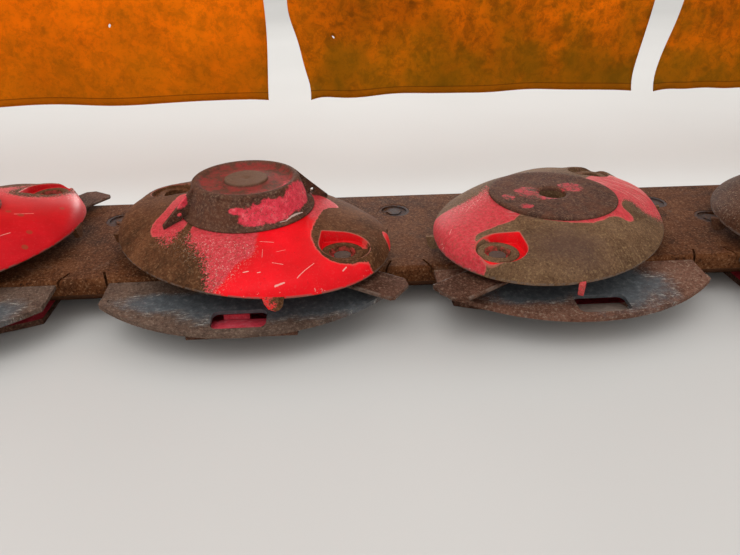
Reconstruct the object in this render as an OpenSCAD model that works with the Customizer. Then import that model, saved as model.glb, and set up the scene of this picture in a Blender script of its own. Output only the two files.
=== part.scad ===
// Cutter bar of a disc mower, with its rear curtain.
// The bar lies along X, the cutting side faces -Y, and the floor under the skid shoes is Z = 0.
// Inside each module the middle of the disc row is X = 0 and the disc axes lie in the plane Y = 0.
// The last step moves everything so that the origin is the middle of the footprint.

/* [Disc row] */
// Distance from one disc axis to the next
disc_pitch = 400; // [390:1:440]
// Long half axis of the oval disc rim
disc_long_r = 188; // [180:1:192]
// Short half axis of the oval disc rim
disc_short_r = 142; // [125:1:160]
// How far the rim of a disc that carries a hat reaches past that of the others
hat_disc_extra = 9; // [0:1:12]
// Height of the disc rim above the bar
rim_lift = 20; // [18:1:26]
// Height of the flat middle of the disc above the bar
plateau_lift = 59; // [50:1:70]
// Radius of the flat middle of the disc
plateau_r = 83; // [70:1:90]
// Thickness of the disc sheet
disc_sheet = 5; // [4:0.5:6]
// Thickness of the rounded disc rim
rim_edge = 4; // [3:0.5:5]
// Radius of the hub under the disc
hub_r = 38; // [30:1:42]
// Radius of the spindle shaft
spindle_r = 17.5; // [14:0.5:22]

/* [Knives] */
// Distance from a knife bolt out to the rim
bolt_inset = 33; // [32:1:38]
// Length of a knife
knife_l = 106; // [90:1:108]
// Width of a knife
knife_w = 48; // [40:1:50]
// Thickness of a knife
knife_t = 4; // [3:0.5:5]
// Distance from the inner end of a knife to its hole
knife_hole_x = 24; // [20:1:28]
// Radius of the knife bolt
bolt_r = 10; // [8:0.5:11]
// Radius of the knife bolt's head
bolt_head_r = 15; // [13:0.5:18]
// Thickness of the knife bolt's head
bolt_head_t = 3; // [2:0.5:4]
// Free height between the bar and the knife bolt's head
head_gap = 5.2; // [5:0.1:6]

/* [Knife pockets] */
// Height of the pocket floor above the bar
pocket_lift = 37; // [34:1:40]
// Radius of the raised ring round the knife bolt
pocket_ring_r = 25; // [22:1:26]
// Radius of the well that holds the end of the knife bolt
pocket_well_r = 15.5; // [14:0.5:18]
// Radius of the recess in the disc round the ring
pocket_recess_r = 30; // [28:1:31]
// Radius of the boss under the disc that the knife hangs below
pocket_boss_r = 22; // [20:1:26]

/* [Lugs] */
// Distance from the middle of a lug out to the rim
lug_inset = 2; // [0:0.5:4]
// Angle between a knife bolt and a lug, seen from the disc axis
lug_angle = 38; // [36:1:42]
// Length of a lug
lug_l = 24; // [16:1:24]
// Thickness of a lug
lug_t = 4; // [3:0.5:5]

/* [Hats] */
// Radius of the hat's top
hat_top_r = 68.5; // [60:0.5:75]
// Height of the hat above the disc
hat_h = 39.5; // [30:0.5:60]
// Thickness of the flat cap plate
cap_t = 4; // [3:0.5:6]
// Radius of the hole in the flat cap plate
cap_hole_r = 19; // [14:0.5:24]
// Reach of the hat's two vanes from the disc axis
vane_reach = 110; // [98:1:116]
// Thickness of a vane
vane_t = 6; // [4:1:8]

/* [Cutter bar] */
// Reach of the bar in front of the disc axes
bar_front = 76; // [70:1:90]
// Reach of the bar behind the disc axes
bar_rear = 166; // [150:1:180]
// Height of the bar's closed case
bar_h = 52; // [46:1:60]
// Reach of the bar past the last disc axis
bar_overhang = 215; // [205:1:225]
// Radius of the rounded top edges of the bar
bar_edge_r = 6; // [4:1:10]
// Height of the bar's upright front face
bar_nose_h = 20; // [14:1:30]
// Radius of the plugs in the top of the bar
plug_r = 23; // [18:1:26]

/* [Guards and shoes] */
// Thickness of a rock guard
guard_t = 5; // [4:0.5:8]
// Half width of a rock guard
guard_half_w = 168; // [150:1:180]
// Reach of a rock guard in front of the disc axes
guard_reach = 186; // [180:1:195]
// Radius of the rounded front of a rock guard
guard_arc_r = 250; // [235:1:270]
// Forward slope of a rock guard in degrees
guard_slope = 5; // [3:0.5:7]
// Width of the slot in a rock guard
slot_w = 62; // [40:1:76]
// Depth of the slot in a rock guard
slot_d = 32; // [20:1:36]
// Thickness of the skid shoes
shoe_t = 8; // [6:1:10]
// Width of a skid shoe under the bar
shoe_w = 280; // [200:5:320]
// Width of the tongue at the front of a skid shoe
tongue_w = 124; // [100:1:140]

/* [Ends] */
// Free distance from the disc axis to the upright pieces at each end
end_clear = 250; // [247:1:260]
// Thickness of the end plates and posts
plate_t = 10; // [8:1:14]
// Radius of the bores in the hinge ears
hinge_bore_r = 15; // [12:0.5:18]
// Height of the hinge axis above the floor
hinge_z = 150; // [130:1:170]
// Radius of the input shaft
input_r = 17.5; // [15:0.5:20]
// Free length of the input shaft
input_l = 80; // [60:1:110]

/* [Curtain] */
// Distance from the disc axes to the front of the curtain rail
rail_y = 300; // [280:1:330]
// Height of the underside of the curtain rail above the floor
rail_z = 515; // [480:1:560]
// Outside width of the square curtain rail
rail_w = 40; // [30:1:50]
// Wall of the curtain rail
rail_wall = 3; // [2:0.5:4]
// Height of the curtain's hem above the floor
hem_z = 184; // [160:1:200]
// Thickness of the curtain
curtain_t = 3; // [2:0.5:4]
// Height of the strips that clamp the curtain
strip_h = 30; // [20:1:40]
// Thickness of the strips that clamp the curtain
strip_t = 5; // [3:0.5:6]

/* [Hidden] */
disc_count = 6;
disc_ids = [1:disc_count];
// Rest angle of the line through both knife bolts of each disc
disc_angles = [139, 49, -41, -131, -139, -49];
// Whether each disc carries a tall hat
disc_hats = [true, false, true, false, false, true];
// Rest directions of the two knives of each disc
knife_angles = [
    [120, -48],
    [57, -152],
    [-35, 136],
    [-147, 42],
    [-128, 50],
    [-22, 140]
];
// Sideways shift of each guard's slot
slot_shifts = [0, 0, -3, 17, 0, 0];
// Front reach of each skid shoe's tongue, one of them broken short
tongue_reaches = [170, 170, 170, 128, 170, 170];
// Left and right edge of each curtain flap at its hem, and from its shoulder up
flap_edges = [[-1244, -785], [-735, -187], [-120, 429], [465, 1030], [1080, 1238]];
flap_shoulders = [[-1244, -775], [-745, -187], [-150, 444], [490, 1030], [1080, 1238]];

flap_ids = [1:len(flap_edges)];
knife_sides = ["a", "b"];

// Clearance of a piece that turns on a pin
run_gap = 0.25;
// Clearance of a piece seated in or beside another
seat_gap = 0.3;
// Extra length of a cut past the surface that it cuts
cut = 1;

bar_top = shoe_t + bar_h;
row_half = disc_pitch * (disc_count - 1) / 2;
bar_half_l = row_half + bar_overhang;
end_x = row_half + end_clear;
bolt_circle_r = disc_long_r - bolt_inset;

rim_z = bar_top + rim_lift;
plateau_z = bar_top + plateau_lift;
pocket_z = bar_top + pocket_lift;

head_z = bar_top + head_gap;
knife_z = head_z + bolt_head_t + seat_gap;
boss_z = knife_z + knife_t + seat_gap;

housing_h = 12;
housing_r = 60;
hub_z = bar_top + housing_h + 3;
spindle_end_z = bar_top + 2;

// Shape of the disc's flank, which is fuller towards the knife bolts than across them
flank_steps = [0, 0.25, 0.5, 0.75, 0.92, 1];
flank_slope = 0.55;
flank_power = 20;
full_angle = 22;
lean_angle = 62;
disc_segments = 48;
// How much thinner the sheet is at the rim
sheet_taper = 2;

hat_base_r = plateau_r + 1;
hat_dish = 5;
hat_plate_r = 27;

// Slope of the pocket's mouth in degrees, and its height over the floor at the bolt
pocket_tilt = 7;
pocket_rise = 8.5;
pocket_wall = 3;
// Shift of the recess's round part, and its drawn-out corner, both from the bolt
recess_shift = 4;
recess_corner = [-40, 8];
ring_h = 2.5;
well_depth = 9;
bolt_end_z = pocket_z - 2;
lug_tip_z = bar_top + 5.5;
// Turn of a lug's plate against the line through the knife bolts
lug_twist = 41;

bevel = 2;
guard_root_z = bar_top - 5;
guard_lip_w = 9;
guard_lip_h = 1.5;
guard_lip_end_y = -bar_front - 36;
slot_y = -guard_reach + 28;

nose_z = 36;
end_nose_z = nose_z + 10;
sole_overlap = 60;
shoe_rear_y = bar_rear - 2;
ear_t = 16;
ear_r = 32;
ear_front_y = -135;
ear_rear_y = 119;
ear_foot_w = 110;
ear_foot_out = 45;
hinge_setback = 92;
hinge_x = end_x + hinge_setback;
tower_r = 62;
tower_x = end_x + plate_t + 8 + tower_r;
bevel_r = 50;
bevel_l = 90;
bevel_front_x = tower_x + bevel_l;
tower_over = 50;
input_journal = 30;
spline_count = 6;
spline_depth = 3;
spline_l = 60;
inner_reach = bevel_front_x + input_l;
inner_shoe_x = tower_x + tower_r + 8;
outer_sole_w = 40;
outer_reach = end_x + plate_t + outer_sole_w;

strip_y = rail_y - 2 * seat_gap - curtain_t - strip_t;
flap_y = rail_y - seat_gap - curtain_t;
flap_top_z = rail_z + rail_w - 4;
flap_shoulder_z = 335;

// Place of the row's middle in the frame of the finished part
front_reach = guard_reach;
rear_reach = rail_y + rail_w + plate_t;
origin_x = (inner_reach - outer_reach) / 2;
origin_y = (rear_reach - front_reach) / 2;

function disc_x(k) = (k - 1) * disc_pitch - row_half;
function rim_extra(k) = disc_hats[k - 1] ? hat_disc_extra : 0;

// Points of an arc from angle a to angle b
function arc(c, r, a, b, n = 8) = [
    for (i = [0:n])
        let (t = a + (b - a) * i / n)
            c + r * [cos(t), sin(t)]
];

module at_origin() {
    translate([-origin_x, -origin_y, 0])
        children();
}

module at_disc(k) {
    at_origin()
        translate([disc_x(k), 0, 0])
            children();
}

module turned_disc(k) {
    at_disc(k)
        rotate(disc_angles[k - 1])
            children();
}

// Extrusion along X of an outline drawn in Y and Z
module along_x(x0, x1) {
    translate([x0, 0, 0])
        rotate([90, 0, 90])
            linear_extrude(x1 - x0)
                children();
}

// Extrusion along Y of an outline drawn in X and Z
module along_y(y0, y1) {
    translate([0, y1, 0])
        rotate([90, 0, 0])
            linear_extrude(y1 - y0)
                children();
}

// Cutter bar

module bar_section() {
    foot = 14;
    undercut = 44;
    polygon(concat(
        [[-bar_front + undercut, shoe_t], [bar_rear - foot, shoe_t]],
        [[bar_rear, shoe_t + foot]],
        arc([bar_rear - bar_edge_r / 2, bar_top - bar_edge_r / 2], bar_edge_r / 2, 0, 90, 4),
        arc([-bar_front + bar_edge_r, bar_top - bar_edge_r], bar_edge_r, 90, 180, 6),
        [[-bar_front, bar_top - bar_nose_h]]
    ));
}

plug_y = 104;
plug_seat = 8;
level_plug = [461, 42];
plug_places = concat([for (k = [1:disc_count - 1]) [disc_x(k) + disc_pitch / 2, plug_y]], [level_plug]);

// Narrow slit in the bar's front edge beside the end of each guard
module corner_slits() {
    slit_w = 3;
    slit_l = 22;
    slit_d = 10;
    turn = 22;
    for (k = disc_ids, s = [-1, 1])
        translate([disc_x(k) + s * (guard_half_w + slit_w), -bar_front, bar_top - slit_d])
            rotate(-s * turn)
                translate([-slit_w / 2, -slit_l, 0])
                    cube([slit_w, 2 * slit_l, slit_d + cut]);
}

module cutter_bar() {
    color([0.42, 0.27, 0.18])
        at_origin()
            difference() {
                along_x(-bar_half_l, bar_half_l)
                    bar_section();
                for (p = plug_places)
                    translate([p[0], p[1], bar_top - plug_seat])
                        cylinder(r = plug_r + run_gap, h = plug_seat + cut, $fn = 48);
                corner_slits();
            }
}

module bar_plugs() {
    dish = 3;
    head_r = plug_r / 2;
    color([0.30, 0.20, 0.15])
        at_origin()
            for (p = plug_places)
                translate([p[0], p[1], bar_top - plug_seat]) {
                    difference() {
                        cylinder(r = plug_r, h = plug_seat - 0.5, $fn = 48);
                        translate([0, 0, plug_seat - dish])
                            cylinder(r = plug_r - 4, h = dish, $fn = 48);
                    }
                    cylinder(r = head_r, h = plug_seat - 1, $fn = 6);
                }
}

module bearing_housings() {
    bore_r = spindle_r + run_gap;
    step_r = housing_r - 14;
    color([0.36, 0.25, 0.18])
        for (k = disc_ids)
            at_disc(k)
                rotate_extrude($fn = 72)
                    polygon([
                        [0, bar_top], [housing_r, bar_top], [housing_r, bar_top + 6],
                        [step_r, bar_top + 6], [step_r, bar_top + housing_h],
                        [bore_r, bar_top + housing_h], [bore_r, bar_top + 1], [0, bar_top + 1]
                    ]);
}

// Rock guards and skid shoes

module guard_outline(inset) {
    arc_y = guard_arc_r - guard_reach;
    intersection() {
        translate([0, arc_y])
            circle(r = guard_arc_r - inset, $fn = 144);
        translate([-guard_half_w + inset, -guard_reach])
            square([2 * (guard_half_w - inset), guard_reach - bar_front + 20]);
    }
}

module slot_outline() {
    corner = 8;
    translate([-slot_w / 2 + corner, -slot_d / 2])
        square([slot_w - 2 * corner, slot_d]);
    translate([-slot_w / 2, -slot_d / 2 + corner])
        square([slot_w, slot_d - 2 * corner]);
    for (x = [-1, 1], y = [-1, 1])
        translate([x * (slot_w / 2 - corner), y * (slot_d / 2 - corner)])
            circle(r = corner, $fn = 32);
}

module guard(k) {
    color([0.40, 0.33, 0.30])
        at_disc(k)
            difference() {
                translate([0, -bar_front, guard_root_z])
                    rotate([guard_slope, 0, 0])
                        translate([0, bar_front, -guard_t]) {
                            linear_extrude(guard_t)
                                difference() {
                                    guard_outline(0);
                                    translate([slot_shifts[k - 1], slot_y])
                                        slot_outline();
                                }
                            translate([0, 0, guard_t])
                                linear_extrude(guard_lip_h)
                                    difference() {
                                        guard_outline(0);
                                        guard_outline(guard_lip_w);
                                        translate([-guard_half_w, guard_lip_end_y])
                                            square([2 * guard_half_w, guard_reach]);
                                    }
                        }
                translate([-guard_half_w - cut, -bar_front, 0])
                    cube([2 * (guard_half_w + cut), 60, bar_top * 2]);
            }
}

// Curved sole: flat under the bar, turned up at the front
sole_bend_y = -bar_front + 6;
sole_steps = 8;
function sole_line(front, nose, lift) = [
    for (i = [0:sole_steps])
        let (u = i / sole_steps)
            [sole_bend_y - (front + sole_bend_y) * u, nose * pow(u, 1.7) + lift]
];
function reversed(list) = [for (i = [len(list) - 1:-1:0]) list[i]];

module sole_section(front, nose) {
    polygon(concat(
        sole_line(front, nose, 0), reversed(sole_line(front, nose, shoe_t)),
        [[shoe_rear_y, shoe_t], [shoe_rear_y, shoe_t / 2], [shoe_rear_y - 12, 0]]
    ));
}

// Everything below the sole's top
module under_sole(front, nose) {
    polygon(concat(
        [[-front, -cut]], reversed(sole_line(front, nose, shoe_t)),
        [[shoe_rear_y, shoe_t], [shoe_rear_y, -cut]]
    ));
}

module skid_shoe(k) {
    front = tongue_reaches[k - 1];
    neck_y = -bar_front - 42;
    at_disc(k)
        intersection() {
            along_x(-shoe_w / 2, shoe_w / 2)
                sole_section(front, nose_z * (front - bar_front) / (guard_reach - bar_front));
            linear_extrude(bar_top)
                polygon([
                    [-shoe_w / 2, bar_rear], [-shoe_w / 2, -bar_front],
                    [-tongue_w / 2, neck_y], [-tongue_w / 2, -guard_reach - cut],
                    [tongue_w / 2, -guard_reach - cut], [tongue_w / 2, neck_y],
                    [shoe_w / 2, -bar_front], [shoe_w / 2, bar_rear]
                ]);
        }
}

module skid_shoes() {
    color([0.55, 0.20, 0.15])
        for (k = disc_ids)
            skid_shoe(k);
}

// Discs

function rim_r(a, extra) =
    let (long_r = disc_long_r + extra, short_r = disc_short_r + extra)
        long_r * short_r / sqrt(pow(short_r * cos(a), 2) + pow(long_r * sin(a), 2));
// 1 towards the knife bolts, 0 across them
function fullness(a) =
    let (u = max(0, min(1, (abs((a + 90) % 180 - 90) - full_angle) / (lean_angle - full_angle))))
        1 - u * u * (3 - 2 * u);
function flank_drop(a, t) = flank_slope * t
    + (1 - flank_slope) * (fullness(a) * pow(t, flank_power) + (1 - fullness(a)) * t * t);
function flank_z(a, t) = plateau_z - (plateau_z - rim_z - rim_edge) * flank_drop(a, t);
// Height of the disc's surface at radius r in the direction a
function surface_z(a, r, extra) = flank_z(a, max(0, (r - plateau_r) / (rim_r(a, extra) - plateau_r)));

// Points of the ring at t on the flank, moved in by inset and down by drop
function flank_ring(t, inset, drop, extra) = [
    for (i = [0:disc_segments - 1])
        let (a = i * 360 / disc_segments, r = plateau_r + (rim_r(a, extra) - inset - plateau_r) * t)
            [r * cos(a), r * sin(a), flank_z(a, t) - drop]
];

// Open dome of even sheet, with its rim cut off flat
module dome(extra) {
    last = len(flank_steps) - 1;
    down = [for (t = flank_steps) flank_ring(t, 0, 0, extra)];
    foot = [for (p = flank_ring(1, 0, 0, extra)) [p[0], p[1], rim_z]];
    inner_foot = [for (p = flank_ring(1, disc_sheet, 0, extra)) [p[0], p[1], rim_z]];
    up = [
        for (j = [last:-1:0])
            let (t = flank_steps[j])
                flank_ring(t, disc_sheet, disc_sheet - sheet_taper * t, extra)
    ];
    rings = concat(down, [foot, inner_foot], up);
    n = disc_segments;
    m = len(rings);
    points = concat([for (ring = rings, p = ring) p], [[0, 0, plateau_z], [0, 0, plateau_z - disc_sheet]]);
    faces = concat(
        [for (i = [0:n - 1]) [n * m, (i + 1) % n, i]],
        [for (j = [0:m - 2], i = [0:n - 1]) [j * n + i, j * n + (i + 1) % n, (j + 1) * n + (i + 1) % n]],
        [for (j = [0:m - 2], i = [0:n - 1]) [j * n + i, (j + 1) * n + (i + 1) % n, (j + 1) * n + i]],
        [for (i = [0:n - 1]) [n * m + 1, (m - 1) * n + i, (m - 1) * n + (i + 1) % n]]
    );
    polyhedron(points, faces);
}

// Places its children at both knife bolts
module at_bolts() {
    for (s = [0, 180])
        rotate(s)
            translate([bolt_circle_r, 0, 0])
                children();
}

module lug() {
    top_z = rim_z + rim_edge - 1;
    rotate(lug_twist)
        along_y(-lug_t / 2, lug_t / 2)
            polygon([
                [-lug_l / 2, top_z], [lug_l / 2, top_z], [lug_l / 2 - 4, lug_tip_z + 4],
                [lug_l / 2 - 8, lug_tip_z], [-lug_l / 4, lug_tip_z + 2]
            ]);
}

// Prism about a knife bolt: round, and drawn out to one corner
module drop_prism(grow, h) {
    r = pocket_recess_r + grow;
    centre = [0, recess_shift];
    away = (recess_corner - centre) * r / pocket_recess_r;
    heading = atan2(away[1], away[0]);
    spread = acos(r / norm(away)) - 10;
    translate([0, recess_shift, 0])
        cylinder(r = r, h = h, $fn = 64);
    linear_extrude(h)
        polygon([
            centre + away, centre + r * [cos(heading + spread), sin(heading + spread)],
            centre, centre + r * [cos(heading - spread), sin(heading - spread)]
        ]);
}

// Sunk cup round a knife bolt, its mouth sloped a little less than the flank
module pocket_cup() {
    intersection() {
        translate([0, 0, pocket_z - pocket_wall])
            drop_prism(pocket_wall, plateau_lift);
        translate([0, 0, pocket_z + pocket_rise])
            rotate([0, pocket_tilt, 0])
                translate([-disc_long_r / 2, -disc_long_r / 2, -disc_long_r])
                    cube(disc_long_r);
    }
}

module disc_sheet_body(extra) {
    difference() {
        union() {
            dome(extra);
            at_bolts()
                pocket_cup();
        }
        at_bolts()
            translate([0, 0, pocket_z])
                drop_prism(0, plateau_lift);
    }
}

module disc(k) {
    extra = rim_extra(k);
    color([0.62, 0.12, 0.09])
        turned_disc(k) {
            difference() {
                union() {
                    disc_sheet_body(extra);
                    at_bolts() {
                        translate([0, 0, boss_z])
                            cylinder(r = pocket_boss_r, h = pocket_z - boss_z, $fn = 64);
                        translate([0, 0, pocket_z - pocket_wall])
                            cylinder(r = pocket_ring_r, h = pocket_wall + ring_h, $fn = 64);
                    }
                    for (s = [0, 180], a = [-lug_angle, lug_angle])
                        rotate(s + a)
                            translate([rim_r(lug_angle, extra) - lug_inset, 0, 0])
                                rotate(-a)
                                    lug();
                    translate([0, 0, hub_z])
                        cylinder(r = hub_r, h = plateau_z - disc_sheet - hub_z, $fn = 64);
                    translate([0, 0, spindle_end_z])
                        cylinder(r = spindle_r, h = hub_z - spindle_end_z, $fn = 64);
                }
                at_bolts() {
                    translate([0, 0, pocket_z - well_depth])
                        cylinder(r = pocket_well_r, h = well_depth + ring_h + cut, $fn = 64);
                    translate([0, 0, boss_z - cut])
                        cylinder(r = bolt_r + run_gap, h = pocket_z - boss_z, $fn = 64);
                }
            }
        }
}

module vane() {
    foot_r = plateau_r + 3;
    steps = 3;
    angle = 65;
    span = vane_reach - foot_r;
    hole_r = 3.5;
    hole_place = [plateau_r + 5, plateau_z + 6];
    function foot_z(r) = surface_z(angle, r, hat_disc_extra) + 0.6;
    rotate(angle)
        along_y(-vane_t / 2, vane_t / 2)
            difference() {
                polygon(concat(
                    [[hat_top_r - 8, plateau_z + hat_h - 7], [hat_top_r - 1, plateau_z + hat_h - 2]],
                    [[vane_reach, foot_z(vane_reach) + 5]],
                    [for (i = [steps:-1:0]) [foot_r + span * i / steps, foot_z(foot_r + span * i / steps)]],
                    [[hat_base_r - 10, plateau_z + 3]]
                ));
                translate(hole_place)
                    circle(r = hole_r, $fn = 32);
            }
}

module hat(k) {
    lip = 3;
    slope_r = hat_base_r - 6;
    color([0.33, 0.21, 0.16])
        turned_disc(k) {
            rotate_extrude($fn = 96)
                polygon(concat(
                    [[0, plateau_z], [hat_base_r, plateau_z], [hat_base_r, plateau_z + lip]],
                    [[slope_r, plateau_z + lip + 2]],
                    arc([hat_top_r - lip, plateau_z + hat_h - lip], lip, 10, 90, 4),
                    [[hat_top_r - 9, plateau_z + hat_h]],
                    [[hat_top_r - 12, plateau_z + hat_h - hat_dish]],
                    [[hat_plate_r, plateau_z + hat_h - hat_dish]],
                    [[hat_plate_r, plateau_z + hat_h - 1], [4, plateau_z + hat_h - 1]],
                    [[0, plateau_z + hat_h - 3]]
                ));
            for (s = [0, 180])
                rotate(s)
                    vane();
        }
}

module cap(k) {
    color([0.30, 0.22, 0.17])
        turned_disc(k)
            difference() {
                translate([0, 0, plateau_z])
                    cylinder(r = plateau_r, h = cap_t, $fn = 96);
                translate([0, 0, plateau_z + 1])
                    cylinder(r = cap_hole_r, h = cap_t, $fn = 64);
            }
}

module knife_bolts(k) {
    color([0.45, 0.40, 0.36])
        turned_disc(k)
            at_bolts() {
                translate([0, 0, head_z])
                    cylinder(r = bolt_head_r, h = bolt_head_t, $fn = 48);
                translate([0, 0, head_z + bolt_head_t])
                    cylinder(r = bolt_r, h = bolt_end_z - head_z - bolt_head_t, $fn = 48);
            }
}

// A knife lies along +X from its hole, with both long edges bevelled and one corner worn away
module knife(k, side) {
    tip_x = knife_l - knife_hole_x;
    worn = 12;
    turn = side == 0 ? 0 : 180;
    at_disc(k)
        rotate(disc_angles[k - 1] + turn)
            translate([bolt_circle_r, 0, knife_z])
                rotate(knife_angles[k - 1][side] - disc_angles[k - 1] - turn)
                    color([0.34, 0.24, 0.18])
                        difference() {
                            linear_extrude(knife_t)
                                difference() {
                                    polygon([
                                        [-knife_hole_x, -knife_w / 2 + 6], [-knife_hole_x + 6, -knife_w / 2],
                                        [tip_x - 4, -knife_w / 2], [tip_x, -knife_w / 2 + 4],
                                        [tip_x, knife_w / 2 - worn], [tip_x - worn, knife_w / 2],
                                        [-knife_hole_x + 6, knife_w / 2], [-knife_hole_x, knife_w / 2 - 6]
                                    ]);
                                    circle(r = bolt_r + run_gap, $fn = 64);
                                }
                            for (s = [-1, 1])
                                translate([18, s * knife_w / 2, knife_t])
                                    rotate([s * -25, 0, 0])
                                        translate([0, -12, -bevel / 2])
                                            cube([tip_x, 24, 10]);
                        }
}

// Ends of the bar

module inner_shoe() {
    color([0.45, 0.30, 0.20])
        at_origin() {
            along_x(bar_half_l - sole_overlap, inner_shoe_x)
                sole_section(guard_reach, end_nose_z);
            along_x(bar_half_l, bar_half_l + plate_t)
                translate([-bar_front, shoe_t])
                    square([bar_front + bar_rear, bar_h - 2]);
        }
}

// Two ears that stand on the inner shoe and take the hinge pins
module hinge_ears() {
    color([0.45, 0.30, 0.20])
        at_origin()
            for (y = [ear_front_y, ear_rear_y])
                difference() {
                    along_y(y, y + ear_t)
                        union() {
                            translate([hinge_x, hinge_z])
                                circle(r = ear_r, $fn = 72);
                            polygon([
                                [hinge_x - ear_foot_w / 2, 0], [hinge_x + ear_foot_out, 0],
                                [hinge_x + ear_r, hinge_z], [hinge_x - ear_r, hinge_z]
                            ]);
                        }
                    along_x(end_x, inner_shoe_x + cut)
                        sole_section(guard_reach, end_nose_z);
                    along_x(end_x, inner_shoe_x + cut)
                        under_sole(guard_reach, end_nose_z);
                    translate([hinge_x, y + ear_t + cut, hinge_z])
                        rotate([90, 0, 0])
                            cylinder(r = hinge_bore_r, h = ear_t + 2 * cut, $fn = 64);
                }
}

module drive_gearbox() {
    flange_t = 10;
    neck_r = tower_r - 8;
    dome_r = 20;
    tower_h = hinge_z + tower_over - shoe_t;
    color([0.40, 0.14, 0.11])
        at_origin()
            difference() {
                union() {
                    translate([tower_x, 0, shoe_t])
                        rotate_extrude($fn = 72)
                            polygon(concat(
                                [[0, 0], [tower_r, 0], [tower_r, flange_t], [neck_r, flange_t + 4]],
                                arc([neck_r - dome_r, tower_h - dome_r], dome_r, 0, 90, 6),
                                [[0, tower_h]]
                            ));
                    translate([tower_x, 0, hinge_z])
                        rotate([0, 90, 0])
                            cylinder(r = bevel_r - 6, h = bevel_l, $fn = 72);
                    translate([bevel_front_x - flange_t, 0, hinge_z])
                        rotate([0, 90, 0])
                            cylinder(r = bevel_r, h = flange_t, $fn = 72);
                }
                translate([bevel_front_x - input_journal, 0, hinge_z])
                    rotate([0, 90, 0])
                        cylinder(r = input_r + run_gap, h = input_journal + cut, $fn = 64);
            }
}

module input_shaft() {
    start_x = bevel_front_x - input_journal + seat_gap;
    color([0.50, 0.46, 0.42])
        at_origin()
            translate([0, 0, hinge_z])
                rotate([0, 90, 0])
                    difference() {
                        translate([0, 0, start_x])
                            cylinder(r = input_r, h = inner_reach - start_x, $fn = 64);
                        for (i = [0:spline_count - 1])
                            rotate(i * 360 / spline_count)
                                translate([input_r - spline_depth, -4.5, inner_reach - spline_l])
                                    cube([spline_depth * 2, 9, spline_l + cut]);
                    }
}

module outer_shoe() {
    wall_h = 120;
    wall_front = 150;
    rear_r = 30;
    front_r = 60;
    color([0.45, 0.30, 0.20])
        at_origin() {
            along_x(-outer_reach, -bar_half_l + sole_overlap)
                sole_section(guard_reach, end_nose_z);
            along_x(-end_x - plate_t, -end_x)
                polygon(concat(
                    [[shoe_rear_y, shoe_t - 1]],
                    arc([shoe_rear_y - rear_r, wall_h - rear_r], rear_r, 0, 90, 5),
                    arc([-wall_front + front_r, wall_h - front_r], front_r, 90, 160, 6),
                    [[-bar_front, shoe_t - 1]]
                ));
            along_x(-end_x, -bar_half_l)
                translate([-bar_front, shoe_t - 1])
                    square([bar_front + bar_rear - 4, bar_h - 4]);
        }
}

// Curtain

// Swept plate that stands on the end of the bar and carries the curtain rail
module post_outline() {
    foot_y = 40;
    foot_l = 76;
    head_y = rail_y - plate_t;
    head_l = rail_w + 2 * plate_t;
    head_top_z = rail_z + rail_w + plate_t;
    head_foot_z = rail_z - 40;
    knee_z = 150;
    difference() {
        polygon([
            [foot_y, shoe_t], [foot_y + foot_l, shoe_t], [foot_y + foot_l, knee_z],
            [head_y + head_l - 8, head_foot_z - 30], [head_y + head_l, head_foot_z],
            [head_y + head_l, head_top_z], [head_y, head_top_z],
            [head_y, head_foot_z], [foot_y, knee_z + 20]
        ]);
        translate([foot_y + foot_l / 2 + 6, knee_z + 10])
            circle(r = 20, $fn = 48);
        translate([head_y + 4, head_foot_z - 44])
            circle(r = 16, $fn = 48);
    }
}

module inner_post() {
    color([0.38, 0.12, 0.10])
        at_origin()
            along_x(end_x, end_x + plate_t)
                post_outline();
}

module outer_post() {
    color([0.38, 0.12, 0.10])
        at_origin()
            along_x(-end_x - 2 * plate_t, -end_x - plate_t)
                post_outline();
}

module curtain_rail() {
    color([0.38, 0.12, 0.10])
        at_origin()
            along_x(-end_x - plate_t, end_x)
                translate([rail_y, rail_z])
                    difference() {
                        square(rail_w);
                        translate([rail_wall, rail_wall])
                            square(rail_w - 2 * rail_wall);
                    }
}

module clamp_strips() {
    strip_inset = 4;
    color([0.36, 0.22, 0.16])
        at_origin()
            for (e = flap_shoulders)
                translate([e[0] + strip_inset, strip_y, rail_z + (rail_w - strip_h) / 2])
                    cube([e[1] - e[0] - 2 * strip_inset, strip_t, strip_h]);
}

module curtain_flap(k) {
    e = flap_edges[k - 1];
    s = flap_shoulders[k - 1];
    corner = 6;
    color([0.72, 0.36, 0.06])
        at_origin()
            along_y(flap_y, flap_y + curtain_t)
                polygon([
                    [e[0], hem_z + corner], [e[0] + corner, hem_z],
                    [e[1] - corner, hem_z], [e[1], hem_z + corner],
                    [s[1], flap_shoulder_z], [s[1], flap_top_z],
                    [s[0], flap_top_z], [s[0], flap_shoulder_z]
                ]);
}

cutter_bar();
bearing_housings();
bar_plugs();
skid_shoes();
inner_shoe();
hinge_ears();
drive_gearbox();
input_shaft();
outer_shoe();
inner_post();
outer_post();
curtain_rail();
clamp_strips();
for (k = flap_ids)
    curtain_flap(k);
for (k = disc_ids) {
    guard(k);
    disc(k);
    hat(k);
    cap(k);
    knife_bolts(k);
    knife(k, 0);
    knife(k, 1);
}
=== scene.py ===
"""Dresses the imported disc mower: worn paint, rust, the orange curtain, small fasteners, floor, light and camera.

Lengths are in millimetres, and mesh_object turns them into metres. Camera, floor and lamps are in metres.
"""

import math
from functools import reduce

import bpy
import numpy as np
from mathutils import Matrix, Vector
from mathutils.geometry import delaunay_2d_cdt


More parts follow.
